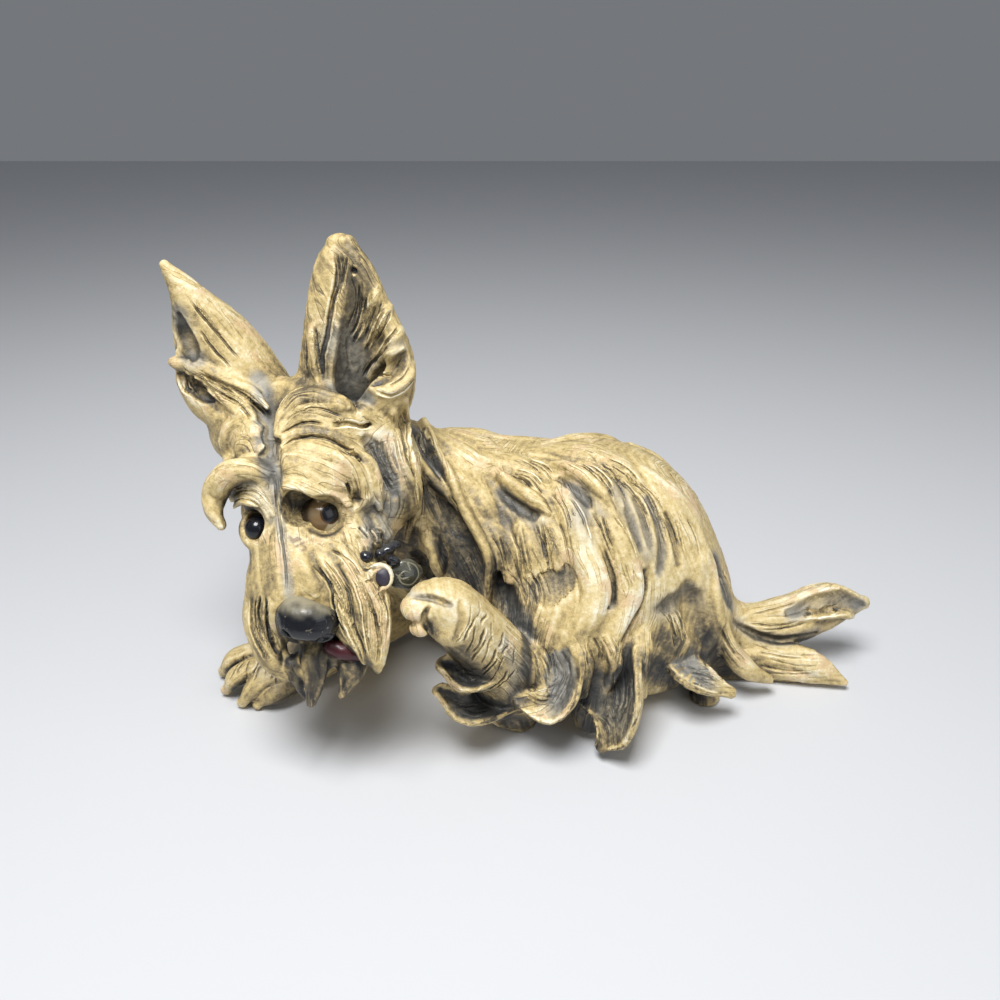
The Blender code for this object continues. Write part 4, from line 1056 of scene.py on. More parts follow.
def brush(points, strokes):
    """Three layers of paint at each point: in each the strongest stroke, which fades to its rim.
    Where a stroke's path is a cupped leaf, the paint fills its inside and leaves its rim bare."""
    layers = np.zeros((len(points), 3))
    for layer, path, radius, strength in strokes:
        if isinstance(path, Leaf):
            rows = np.flatnonzero(((points > path.low - 1) & (points < path.high + 1)).all(1))
            a, b, end, w, _, cup, share = path.local(points[rows])
            front = (b > cup * np.minimum(np.abs(a) / w, 1.6) ** 2) & (b < 5 + cup) & (np.abs(end) < 0.5)
            inside = np.clip(1.3 - 2.8 * (a / w) ** 4, 0, 1) * np.clip(4 - 4.6 * share, 0, 1) * front
            layers[rows, layer] = np.maximum(layers[rows, layer], strength * inside)
            continue
        guide = Leaf(path, [radius, radius], [radius, radius], per=2)
        rows = np.flatnonzero(((points > guide.low) & (points < guide.high)).all(1))
        if not len(rows):
            continue
        gap = guide.nearest(points[rows])[2] / radius
        fade = np.minimum(1.25 * np.clip(1 - gap**2, 0, 1) ** 1.6, 1)
        layers[rows, layer] = np.maximum(layers[rows, layer], strength * fade)
    return layers


# %% Sculpting
def normals_of(points, faces):
    """Face normals added up at each point."""
    ring = points[faces]
    flat = np.cross(ring[:, 2] - ring[:, 0], ring[:, 3] - ring[:, 1])
    total = np.zeros_like(points)
    for k in range(4):
        for axis in range(3):
            total[:, axis] += np.bincount(faces[:, k], flat[:, axis], len(points))
    return unit(total)


def put_mesh(name, points, faces):
    """A mesh object from arrays of points and of faces with the same number of corners."""
    mesh = bpy.data.meshes.new(name)
    mesh.vertices.add(len(points))
    mesh.vertices.foreach_set("co", (points * MM).ravel())
    sides = faces.shape[1]
    mesh.loops.add(faces.size)
    mesh.loops.foreach_set("vertex_index", faces.ravel())
    mesh.polygons.add(len(faces))
    mesh.polygons.foreach_set("loop_start", np.arange(0, faces.size, sides))
    mesh.polygons.foreach_set("use_smooth", np.ones(len(faces), bool))
    mesh.update(calc_edges=True)
    obj = bpy.data.objects.new(name, mesh)
    bpy.context.collection.objects.link(obj)
    return obj


def strand_relief(across, along, owner):
    """Strands about 2.5 mm wide, from -1 in the cut between two to 0 on top: ridged noise that is
    stretched along the hair."""
    place = np.stack([across / 2.6, along / 22, owner * 7.7], 1)
    return np.minimum(np.abs(noise(place, 1.0, 3)) * 3.2, 1) ** 0.7 - 1


def sculpt(name, low, high, forms, plain, strokes, nicks, limit):
    """Press the forms into clay, draw its skin, comb in fine strands and thin it to the limit."""
    clay = Clay(low, high)
    for form in forms:
        clay.press(form)
    clay.refine(forms)
    grid = clay.dense()
    level = clay.low[2] + STEP * np.arange(grid.shape[2])
    grid = np.maximum(grid, -level)
    points, faces = surface_net(grid, clay.low, STEP)
    points[:, 2] = np.maximum(points[:, 2], 0)
    normals = normals_of(points, faces)
    strands = strand_relief(*hair(points, forms, plain)) * 0.3
    teeth, _, bite = rake(points, strokes)
    strands = strands * (1 - bite) - 0.8 * tooth(teeth) * bite
    for group in (0, 1):
        side, force = cuts_at(points, nicks, group)
        strands += force * (0.25 * np.exp(-(np.abs(side) - 2.2) ** 2 * 2) - 1.0 * np.exp(-(side / 1.3) ** 2))
    lumps = noise(points, 7.0, 5) * 0.25 + noise(points, 2.6, 6) * 0.12
    inner = points[:, 2] > 0.4
    points = points + normals * ((strands + lumps) * inner)[:, None]
    points[:, 2] = np.maximum(points[:, 2], 0)
    obj = put_mesh(name, points, faces)
    ratio = limit / (2 * len(faces))
    if ratio < 1:
        thin = obj.modifiers.new("thin", "DECIMATE")
        thin.ratio = ratio
        graph = bpy.context.evaluated_depsgraph_get()
        mesh = bpy.data.meshes.new_from_object(obj.evaluated_get(graph))
        obj.modifiers.clear()
        old, obj.data = obj.data, mesh
        bpy.data.meshes.remove(old)
    print(name, "fine cells", len(clay.cells), "skin faces", len(faces), "kept", len(obj.data.polygons))
    return obj, grid, clay


# %% [markdown]
# ## Hollows, crests and painted shade
# The glaze settles where the casting is hollow and is rubbed off where it stands out; the same measures also put
# painted shade into hollows and recesses and a painted highlight on crests. Both are read from the clay: the distance
# a little way out from the skin is smaller in a hollow, and the depth a little way in is smaller under a ridge. They
# go to the mesh as attributes.


# %% Hollows and crests
def sample(grid, low, points):
    """The fine grid's distance at any point, between the eight grid points around it."""
    place = np.clip((points - low) / STEP, 0, np.array(grid.shape) - 1.001)
    cell = place.astype(int)
    part = place - cell
    total = 0
    for corner in np.ndindex(2, 2, 2):
        share = np.prod(np.where(corner, part, 1 - part), -1)
        total = total + share * grid[tuple((cell + corner).T)]
    return total


def mark(obj, name, values):
    """Store one number or one vector for each point of the mesh."""
    kind, key = ("FLOAT_VECTOR", "vector") if values.ndim == 2 else ("FLOAT", "value")
    made = obj.data.attributes.new(name, kind, "POINT")
    made.data.foreach_set(key, values.astype(np.float32).ravel())


def study(obj, grid, clay, forms, plain, strokes, nicks, paints):
    """Measure hollows, crests and hair direction at every point of the thinned mesh."""
    mesh = obj.data
    points = np.empty(len(mesh.vertices) * 3, np.float32)
    mesh.vertices.foreach_get("co", points)
    points = points.reshape(-1, 3).astype(float) / MM
    normals = np.empty(len(mesh.vertices) * 3, np.float32)
    mesh.vertices.foreach_get("normal", normals)
    normals = normals.reshape(-1, 3).astype(float)
    here = sample(grid, clay.low, points)
    # How closed in each point is, from 1.2 to 12 millimetres out: the paint reads it for the glaze and as painted
    # shade, like ambient occlusion.
    near = sum(1 - (sample(grid, clay.low, points + normals * d) - here) / d for d in (1.2, 2.2)) / 2
    far = 1 - clay.at(points + normals * 5) / 5
    deep = 1 - clay.at(points + normals * 12) / 12
    crest = sum(1 + (sample(grid, clay.low, points - normals * d) - here) / d for d in (1.2, 2.2)) / 2
    mark(obj, "hollow", np.clip(near, 0, 1))
    mark(obj, "recess", np.clip(far, 0, 1))
    mark(obj, "depth", np.clip(deep, 0, 1))
    mark(obj, "crest", np.clip(crest, 0, 1))
    across, along, owner = hair(points, forms, plain)
    mark(obj, "comb", np.stack([across, along, owner], 1))
    edges = np.empty(len(mesh.edges) * 2, np.int32)
    mesh.edges.foreach_get("vertices", edges)
    one, two = edges.reshape(-1, 2).T
    seam = one[owner[one] != owner[two]], two[owner[one] != owner[two]]
    whole = np.ones(len(points))
    whole[np.concatenate(seam)] = 0
    mark(obj, "whole", whole)
    mark(obj, "strand", 1 + strand_relief(across, along, owner))
    mark(obj, "rake", np.stack(rake(points, strokes), 1))
    mark(obj, "brush", brush(points, paints))
    for group in (0, 1):
        side, force = cuts_at(points, nicks, group)
        mark(obj, "nick" + str(group), np.stack([side, force, 0 * side], 1))
    print(obj.name, "hollow", near.mean().round(3), "recess", far.mean().round(3), "depth",
          deep.mean().round(3), "crest", crest.mean().round(3))
    return points, normals


# %% The two parts
head_strokes, head_nicks = [], face_nicks + muzzle_nicks + ear_nicks
body_strokes, body_nicks = [], coat_nicks + limb_nicks
head_paints = [
    # Glaze and painted shade: these dabs darken the near ear's bowl, its band, the brow and the forehead, as shade
    # would.
    dab(GLAZE_AND_SHADE, [(30, 64), (33, 60), (28, 55)], 10, 0.5),
    dab(GLAZE_AND_SHADE, [(36, 84), (38, 72), (35, 62)], 8, 0.3),
    dab(GLAZE_AND_SHADE, [(24, 98), (20, 75), (18, 52)], 13, 0.28),
    dab(GLAZE_AND_SHADE, [(6, 46), (18, 46), (30, 42)], 9, 0.4),
    dab(GLAZE_AND_SHADE, [(4, 30), (14, 33), (26, 28), (36, 16)], 7, 0.22),
    dab(GLAZE_AND_SHADE, [(40, 94), (36, 76), (32, 56)], 13, 0.55),
    dab(WORN, [(-24, 96), (-16, 80), (-8, 62)], 9, 0.4),
    dab(GLAZE_AND_SHADE, [(-12, 36), (-9, 30), (-7, 22)], 8, 0.22),
    dab(GLAZE_AND_SHADE, [(2, -2), (4, -16), (4, -28)], 7, 0.12),
    dab(GLAZE_AND_SHADE, [(-6, 8), (-8, -8), (-9, -24)], 6, 0.22),
    dab(DUST, [(22, 45), (30, 46), (38, 44)], 5, 0.6),
    dab(GLAZE_AND_SHADE, [(36, 66), (34, 58), (31, 52)], 9, 0.3),
    dab(DUST, [(30, 66), (33, 58), (30, 51)], 12, 0.8),
    dab(DUST, [(25, 49), (33, 45), (38, 42)], 4, 0.9),
    dab(GLAZE_AND_SHADE, [(-30.5, 84), (-29.5, 77), (-28, 71), (-27, 67)], 6, 0.7),
    dab(DUST, [(-30.5, 84), (-29.5, 77), (-28, 71), (-27, 67)], 7, 0.9),
    dab(GLAZE_AND_SHADE, [(-33.5, 63.5), (-30, 58.5), (-26, 54), (-21.5, 51)], 5, 0.6),
    dab(DUST, [(-3, 57), (-2, 47), (-3, 36.5), (-3.5, 24.5), (-2, 14)], 6, 1),
    dab(DUST, [(-2, 14), (-2, 2), (-2, -10), (-2, -22), (-2, -30)], 3, 0.8),
    dab(DUST, [(-12, 14), (-7, 9), (-5, 2)], 6, 0.7),
    dab(DUST, [(40, 24), (42.5, 9.5), (40, 0), (35, -9)], 9, 0.9),
    dab(DUST, [(29, -10), (35, -12), (40, -15)], 6, 1),
    dab(GLAZE_AND_SHADE, [(43, 4), (42, -4), (38, -10)], 9, 0.2),
    dab(GLAZE_AND_SHADE, [(50, 2), (52, -12), (46, -20)], 10, 0.8),
    dab(GLAZE_AND_SHADE, [(30, -17), (36, -17), (41, -20)], 5, 0.6),
    # Painted shade in the near eye's socket and under the brow pad, and in the far eye's socket.
    dab(GLAZE_AND_SHADE, [(1, 7), (4, 5), (8, 4)], 7, 0.8),
    dab(GLAZE_AND_SHADE, [(10, 2), (15, 3), (21, 0)], 7, 0.45),
    dab(GLAZE_AND_SHADE, [(-14, 2), (-11, 3)], 6, 0.5),
    # Painted shade under the nose, in the mouth and between the beard locks.
    dab(GLAZE_AND_SHADE, [(-6, -48), (-3, -52), (-2, -58)], 6, 1),
    dab(GLAZE_AND_SHADE, [(10, -52), (9, -58), (8, -68)], 5, 0.8),
    dab(GLAZE_AND_SHADE, [(13, -50), (19, -55), (24, -62)], 5, 0.9),
    stain(GLAZE_AND_SHADE, [ahead(0, -50, -4), ahead(8, -53, -3), ahead(20, -56, -3)], 7, 0.8),
    stain(GLAZE_AND_SHADE, [ahead(8, -6.5, 1), ahead(12, -8.8, 2), ahead(17, -9, 2.5), ahead(22, -6, 1)], 2, 0.8),
    # Painted shade under the nose.
    stain(GLAZE_AND_SHADE, [ahead(0, -48, 5), ahead(4, -49, 5)], 5, 1),
    dab(GLAZE_AND_SHADE, [(31.5, -22), (27, -26.6), (31.5, -31), (36, -26.6), (31.5, -22)], 2.6, 0.4),
    dab(DUST, [(33, 2), (36, -6), (39, -13)], 5, 0.8),
    # Painted shade under the nose, on the far side.
    stain(GLAZE_AND_SHADE, [ahead(-6, -46, -3), ahead(-3, -50, -2), ahead(-1, -54, -4)], 7, 1),
    dab(GLAZE_AND_SHADE, [(16, -22), (19, -33), (21, -45), (24, -56)], 4, 0.3),
    dab(GLAZE_AND_SHADE, [(26, -30), (29, -42), (27, -56)], 5, 0.3),
    dab(GLAZE_AND_SHADE, [(-14, -12), (-16, -24), (-14, -36)], 6, 0.3),
    dab(GLAZE_AND_SHADE, [(9, -20), (12, -32), (14, -44)], 5, 0.2),
    # Painted shade on the beard, which hangs in the shadow under the head.
    stain(GLAZE_AND_SHADE, [ahead(6, -56, -1), ahead(4, -63, -1), ahead(2, -72, -2)], 8, 1),
    stain(GLAZE_AND_SHADE, [ahead(19, -57, 0), ahead(16, -65, 0), ahead(13, -71, -1)], 7, 0.9),
    stain(GLAZE_AND_SHADE, [ahead(9.5, -57, -4), ahead(9, -64, -5), ahead(8, -70, -6)], 4, 1),
    stain(GLAZE_AND_SHADE, [ahead(-3, -56, -8), ahead(-3, -64, -8), ahead(-2, -72, -9)], 9, 1),
    # Painted shade in the eye sockets and under the brow pad.
    stain(GLAZE_AND_SHADE, [ahead(1, 6, -7), ahead(5, 5, -8), ahead(9, 5, -8)], 6, 0.9),
    stain(GLAZE_AND_SHADE, [ahead(8, 7, -3), ahead(15, 7, -3), ahead(22, 4, -5)], 4, 0.6),
    stain(GLAZE_AND_SHADE, [ahead(-16, 3, -10), ahead(-10, 4, -8), ahead(-7, 1, -7)], 4, 0.8),
    stain(DUST, [ahead(33, 2, -2), ahead(34, -8, 0), ahead(33, -14, 4), ahead(40, -14, 2)], 8, 1),
    stain(GLAZE_AND_SHADE, [ahead(34, -8, 0), ahead(36, -14, 2), ahead(42, -20, -2)], 6, 0.5),
    dab(GLAZE_AND_SHADE, [(41, 48), (46, 51.5), (53, 56)], 4, 0.5),
    dab(GLAZE_AND_SHADE, [(26.5, 95), (24.5, 84), (22.5, 70), (20.5, 52)], 6, 0.3),
    dab(DUST, [(40, 52), (45, 58), (52, 61)], 4, 0.6),
    dab(GLAZE_AND_SHADE, [(-9, -33), (-8.5, -42), (-9, -50)], 2.5, 0.6),
    dab(GLAZE_AND_SHADE, [(-16.5, -46), (-14, -54), (-10, -60)], 3, 0.5),
    dab(GLAZE_AND_SHADE, [(34, 1), (33, -4)], 4, 0.6),
    dab(WORN, [(3, 11), (10, 9.5), (17, 5), (23, 3)], 3, 0.55),
    dab(WORN, [(24, 4), (27, -4)], 6, 0.5),
    dab(WORN, [(2, -8), (5, -12)], 4, 1),
]
body_paints = [
    # Glaze and painted shade: the mane's deep valleys and the hollow under the head and cheek.
    smear(GLAZE_AND_SHADE, [(-30, 29), (-24, 35), (-18, 43)], 9, 0.55),
    smear(GLAZE_AND_SHADE, [(-18, 47), (-13, 57), (-12, 75)], 11, 1),
    smear(GLAZE_AND_SHADE, [(-24, 48), (-22, 60), (-17, 72)], 9, 1),
    smear(GLAZE_AND_SHADE, [(36, 50), (40, 62), (37, 76)], 7, 0.2),
    smear(GLAZE_AND_SHADE, [(-46, 30), (-42, 45), (-40, 62), (-32, 76)], 9, 0.95),
    smear(GLAZE_AND_SHADE, [(-19, 60), (-18, 75), (-16, 88)], 12, 1),
    smear(GLAZE_AND_SHADE, [(-3, 58), (0, 71), (6, 82)], 9, 1),
    smear(DUST, [(2, 74), (8, 82), (10, 90)], 7, 0.9),
    smear(GLAZE_AND_SHADE, [(2, 34), (5, 45), (7, 58), (10, 74)], 11, 0.45),
    smear(GLAZE_AND_SHADE, [(19, 42), (22, 50), (23, 58)], 7, 0.3),
    smear(GLAZE_AND_SHADE, [(31, 42), (34, 52), (37, 63)], 6, 0.15),
    smear(DUST, [(14, 66), (20, 64), (30, 57)], 6, 0.3),
    smear(GLAZE_AND_SHADE, [(18, 40), (22, 50), (24, 56)], 7, 0.3),
    smear(GLAZE_AND_SHADE, [(1, 24), (8, 30), (17, 37)], 4, 0.15),
    smear(DUST, [(1, 24), (8, 30), (17, 37)], 5, 0.8),
    smear(GLAZE_AND_SHADE, [(28, 22), (32, 26), (38, 30), (45, 35)], 4, 0.12),
    smear(DUST, [(28, 22), (32, 26), (38, 30), (45, 35)], 4, 0.7),
    smear(GLAZE_AND_SHADE, [(24, 16), (27, 23), (30, 27)], 3, 0.2),
    smear(DUST, [(31, 24), (35, 30), (33, 38), (36, 44)], 7, 0.9),
    smear(DUST, [(-30, 29), (-24, 35), (-16, 45), (-13, 57), (-12, 75)], 10, 0.25),
    # Painted shade in the hollow behind the curls.
    stain(GLAZE_AND_SHADE, [(42, -64, 24), (38, -68, 12), (36, -70, 2)], 11, 1),
    smear(DUST, [(33, 38), (38, 50), (42, 58), (44, 68)], 5, 0.8),
    smear(DUST, [(50, 24), (58, 35), (62, 44)], 8, 0.6),
    smear(GLAZE_AND_SHADE, [(63, 23), (68, 33), (69, 43), (67, 52)], 3.4, 0.15),
    smear(DUST, [(63, 23), (68, 33), (69, 43), (67, 52)], 3.5, 0.7),
    smear(GLAZE_AND_SHADE, [(71, 26), (75, 36), (76, 47)], 2.4, 0.2),
    smear(GLAZE_AND_SHADE, [(60, 53), (58, 62), (54, 73), (50, 82)], 4, 0.35),
    smear(GLAZE_AND_SHADE, [(97, 33), (101, 49), (107, 74)], 6, 0.5),
    smear(DUST, [(97, 33), (101, 49), (107, 74)], 7, 0.9),
    # Painted shade on the lower flank and the belly, which turn away from the light.
    smear(GLAZE_AND_SHADE, [(83, 59), (87, 71), (91, 86)], 7, 0.42),
    smear(GLAZE_AND_SHADE, [(68, 69), (76, 65), (84, 61)], 6, 0.3),
    smear(DUST, [(68, 69), (76, 65), (84, 61), (88, 74)], 8, 0.6),
    smear(GLAZE_AND_SHADE, [(69, 82), (78, 90), (88, 98)], 8, 0.8),
    smear(GLAZE_AND_SHADE, [(4, 90), (12, 100), (20, 112)], 8, 0.7),
    smear(GLAZE_AND_SHADE, [(33, 96), (42, 101), (54, 102)], 8, 0.8),
    smear(GLAZE_AND_SHADE, [(-37, 10), (-33, 15), (-27, 20)], 5, 0.2),
    smear(DUST, [(-37, 10), (-33, 15), (-27, 20)], 6, 1),
    smear(WORN, [(-26, 5), (-18, 10), (-12, 16)], 10, 0.4),
    smear(WORN, [(-33, 4), (-24, 20), (-14, 35), (-6, 48), (-4, 60), (-5, 76)], 4, 0.5),
    wash(WORN, [(-30, 20), (-22, 20), (-12, 16), (-4, 2)], 12, 0.58),
    # Painted shade between the far paw's toes and over the paw, which lies in the shadow of the head.
    stain(GLAZE_AND_SHADE, [(-104, -22, 16), (-115, -26, 14), (-127, -28, 8)], 3.5, 0.8),
    stain(GLAZE_AND_SHADE, [(-102, -30, 17), (-111, -35, 13), (-121, -38, 6)], 3.5, 0.9),
    stain(GLAZE_AND_SHADE, [(-96, -36, 14), (-104, -41, 10), (-112, -43, 5)], 3, 0.8),
    stain(GLAZE_AND_SHADE, [(-90, -30, 20), (-90, -40, 12), (-98, -46, 4)], 12, 0.8),
    stain(DUST, [(-96, -30, 20), (-104, -34, 14)], 12, 0.5),
    stain(WORN, [(-133, -22, 4), (-128, -35, 4), (-118, -43, 3), (-110, -44, 3)], 2.5, 0.5),
    wash(GLAZE_AND_SHADE, [(-16, -2), (-9, -12), (-8, -26)], 9, 0.5),
    wash(DUST, [(2, 2), (6, -8), (6, -20)], 5, 0.6),
    wash(WORN, [(112, 4), (134, 6), (150, 13)], 13, 0.66),
    wash(WORN, [(112, -14), (134, -17), (152, -18)], 10, 0.58),
    smear(WORN, [(60, 8), (78, 22), (92, 48), (96, 60)], 14, 0.5),
    smear(WORN, [(58, 60), (66, 72), (72, 60), (78, 40)], 12, 0.45),
    smear(WORN, [(40, 74), (46, 84), (58, 78)], 12, 0.5),
    smear(WORN, [(25, 78), (31, 83), (34, 90)], 6, 0.5),
    wash(GLAZE_AND_SHADE, [(11, -8), (16, -13), (27, -12)], 6, 0.2),
    wash(GLAZE_AND_SHADE, [(34, -8), (41, -8), (49, -7)], 5, 0.2),
    wash(GLAZE_AND_SHADE, [(10, 5), (11, -10), (8, -24)], 6, 0.8),
    wash(DUST, [(10, 8), (11, -4), (10, -12)], 6, 0.9),
    # Painted shade low on the belly and the skirt, near the floor.
    wash(GLAZE_AND_SHADE, [(30, -22), (36, -32), (44, -46)], 14, 1),
    wash(GLAZE_AND_SHADE, [(62, -12), (74, -20), (90, -32)], 9, 1),
    wash(GLAZE_AND_SHADE, [(106, -20), (120, -30), (135, -32)], 7, 0.7),
    wash(GLAZE_AND_SHADE, [(92, -2), (98, -14), (108, -22)], 7, 0.9),
    wash(GLAZE_AND_SHADE, [(0, -34), (10, -40), (18, -36)], 10, 1),
    wash(GLAZE_AND_SHADE, [(108, 3), (120, -5), (134, -8), (150, -4)], 3.5, 0.3),
    wash(DUST, [(108, 3), (120, -5), (134, -8), (150, -4)], 5, 0.6),
    wash(GLAZE_AND_SHADE, [(138, 5), (150, 9), (163, 11), (172, 8)], 5, 0.3),
    wash(DUST, [(138, 5), (150, 9), (163, 11), (172, 8)], 6, 1),
    # Painted shade under the raised paw and along the foreleg.
    wash(GLAZE_AND_SHADE, [(-24, -5), (-16, -12), (-8, -16)], 6, 0.8),
    wash(GLAZE_AND_SHADE, [(-22, -18), (-14, -26), (-4, -34)], 7, 0.8),
    wash(GLAZE_AND_SHADE, [(-14, 2), (-6, -10), (-4, -20)], 4, 0.4),
    wash(GLAZE_AND_SHADE, [(-40, 16), (-38, 8), (-28, 2)], 6, 0.8),
    wash(DUST, [(-34, 23), (-27, 22), (-18, 19)], 2.5, 0.7),
]
# The glaze fills the insides of the frills and curls, both as glaze and as painted shade in these hollows.
body_paints += [(GLAZE_AND_SHADE, form, 0, {"curl": 0.85, "cup": 0.25}.get(form.name, 0.55)) for form in legs + skirt if form.name]
body_paints += [(DUST, form, 0, {"curl": 0.6}.get(form.name, 1)) for form in legs + skirt if form.name]
body_paints += [(WORN, form, 0, 0.58) for form in skirt if form.name in ("cup", "leaf")]
head_forms = head_base + face + muzzle + ear_work + fly_eye
body_forms = trunk + coat + legs + skirt + tail
head, head_grid, head_clay = sculpt("dog_head", (-142, -100, 10), (-20, 34, 212), head_forms, head_flow,
                                    head_strokes, head_nicks, 195000)
study(head, head_grid, head_clay, head_forms, head_flow, head_strokes, head_nicks, head_paints)
body, body_grid, body_clay = sculpt("dog_body", (-140, -100, -6), (184, 76, 142), body_forms, trunk_flow,
                                    body_strokes, body_nicks, 195000)
study(body, body_grid, body_clay, body_forms, trunk_flow, body_strokes, body_nicks, body_paints)
del head_grid, body_grid

# %% [markdown]
# ## Paint
# Node groups hold what several materials share: fine hair lines that follow the combing, and the
# mottling of old paint.


# %% Node helpers
def add(tree, kind, inputs=None, **settings):
    """A node with its settings, and inputs that are values or other nodes' sockets."""
    made = tree.nodes.new(kind)
    for key, value in settings.items():
        setattr(made, key, value)
    for key, value in (inputs or {}).items():
        if isinstance(value, bpy.types.NodeSocket):
            tree.links.new(value, made.inputs[key])
        else:
            made.inputs[key].default_value = value
    return made


def maths(tree, work, a, b=0.0, c=0.0, clamp=False):
    """One Math node."""
    return add(tree, "ShaderNodeMath", {0: a, 1: b, 2: c}, operation=work, use_clamp=clamp).outputs[0]


def ramp(tree, value, low, high, start=0.0, end=1.0):
    """A smooth step from start to end as the value goes from low to high."""
    made = add(tree, "ShaderNodeMapRange", {"Value": value, "From Min": low, "From Max": high,
                                            "To Min": start, "To Max": end},
               interpolation_type="SMOOTHSTEP")
    return made.outputs[0]


def mix(tree, share, a, b):
    """Mix of two colours."""
    made = tree.nodes.new("ShaderNodeMix")
    made.data_type = "RGBA"
    for key, value in ((0, share), (6, a), (7, b)):
        if isinstance(value, bpy.types.NodeSocket):
            tree.links.new(value, made.inputs[key])
        else:
            made.inputs[key].default_value = value if key == 0 else (*value, 1)
    return made.outputs[2]


def cloud(tree, vector, scale, detail=2.0, rough=0.5):
    """Noise texture's value."""
    return add(tree, "ShaderNodeTexNoise", {"Vector": vector, "Scale": scale, "Detail": detail,
                                            "Roughness": rough}).outputs[0]


def new_group(name, inputs, outputs):
    """An empty shader node group with the sockets that are named."""
    tree = bpy.data.node_groups.new(name, "ShaderNodeTree")
    for label, kind, value in inputs:
        made = tree.interface.new_socket(label, in_out="INPUT", socket_type=kind)
        if value is not None:
            made.default_value = value
    for label, kind in outputs:
        tree.interface.new_socket(label, in_out="OUTPUT", socket_type=kind)
    return tree, add(tree, "NodeGroupInput"), add(tree, "NodeGroupOutput")


# %% Shared effects
def hair_line_group():
    """Cut lines and the pale lips beside them: noise stretched along the hair gives a dark line
    where it crosses its middle value and a pale one just above that."""
    tree, given, made = new_group(
        "hair_lines",
        [("Comb", "NodeSocketVector", None), ("Spacing", "NodeSocketFloat", 1.2),
         ("Reach", "NodeSocketFloat", 14.0), ("Width", "NodeSocketFloat", 0.12)],
        [("Cut", "NodeSocketFloat"), ("Lip", "NodeSocketFloat"), ("Strand", "NodeSocketFloat")])
    parts = add(tree, "ShaderNodeSeparateXYZ", {0: given.outputs["Comb"]})
    place = add(tree, "ShaderNodeCombineXYZ", {
        0: maths(tree, "DIVIDE", parts.outputs[0], given.outputs["Spacing"]),
        1: maths(tree, "DIVIDE", parts.outputs[1], given.outputs["Reach"]),
        2: maths(tree, "MULTIPLY", parts.outputs[2], 5.31)})
    value = cloud(tree, place.outputs[0], 1.0, 1.0)
    above = maths(tree, "SUBTRACT", value, 0.5)
    width = given.outputs["Width"]
    cut = add(tree, "ShaderNodeMapRange", {"Value": maths(tree, "ABSOLUTE", above), "From Max": width,
                                           "To Min": 1.0, "To Max": 0.0}, interpolation_type="SMOOTHSTEP")
    off = maths(tree, "ABSOLUTE", maths(tree, "SUBTRACT", above, maths(tree, "MULTIPLY", width, 2.0)))
    lip = add(tree, "ShaderNodeMapRange", {"Value": off, "From Max": width,
                                           "To Min": 1.0, "To Max": 0.0}, interpolation_type="SMOOTHSTEP")
    tree.links.new(cut.outputs[0], made.inputs["Cut"])
    tree.links.new(lip.outputs[0], made.inputs["Lip"])
    tree.links.new(value, made.inputs["Strand"])
    return tree


def mottle_group():
    """Uneven old paint: broad drifts, blotches and fine specks, each a noise of its own size."""
    tree, given, made = new_group(
        "old_paint", [("Vector", "NodeSocketVector", None)],
        [("Drift", "NodeSocketFloat"), ("Blotch", "NodeSocketFloat"), ("Speck", "NodeSocketFloat"),
         ("Grain", "NodeSocketFloat")])
    for label, scale, detail in (("Drift", 30, 2), ("Blotch", 120, 3), ("Speck", 480, 3), ("Grain", 1500, 2)):
        tree.links.new(cloud(tree, given.outputs["Vector"], scale / (MM * 1000), detail), made.inputs[label])
    return tree


hair_lines = hair_line_group()
old_paint = mottle_group()


# %% The painted resin
TONES = ((0.0, (0.010, 0.010, 0.014)), (0.14, (0.035, 0.032, 0.026)), (0.29, (0.125, 0.100, 0.058)),
         (0.44, (0.34, 0.26, 0.125)), (0.58, (0.57, 0.435, 0.19)), (0.72, (0.70, 0.57, 0.305)),
         (0.86, (0.83, 0.74, 0.51)), (1.0, (0.92, 0.87, 0.70)))
RUST, ROSE, CREAM = (0.19, 0.10, 0.05), (0.66, 0.47, 0.27), (0.88, 0.80, 0.56)


def tone_ramp(tree, tone):
    """The painter's scale of tones from the dark glaze to the cream."""
    made = add(tree, "ShaderNodeValToRGB", {0: tone})
    steps = made.color_ramp.elements
    while len(steps) < len(TONES):
        steps.new(0.5)
    for step, (place, colour) in zip(steps, TONES):
        step.position = place
        step.color = (*colour, 1)
    return made.outputs[0]


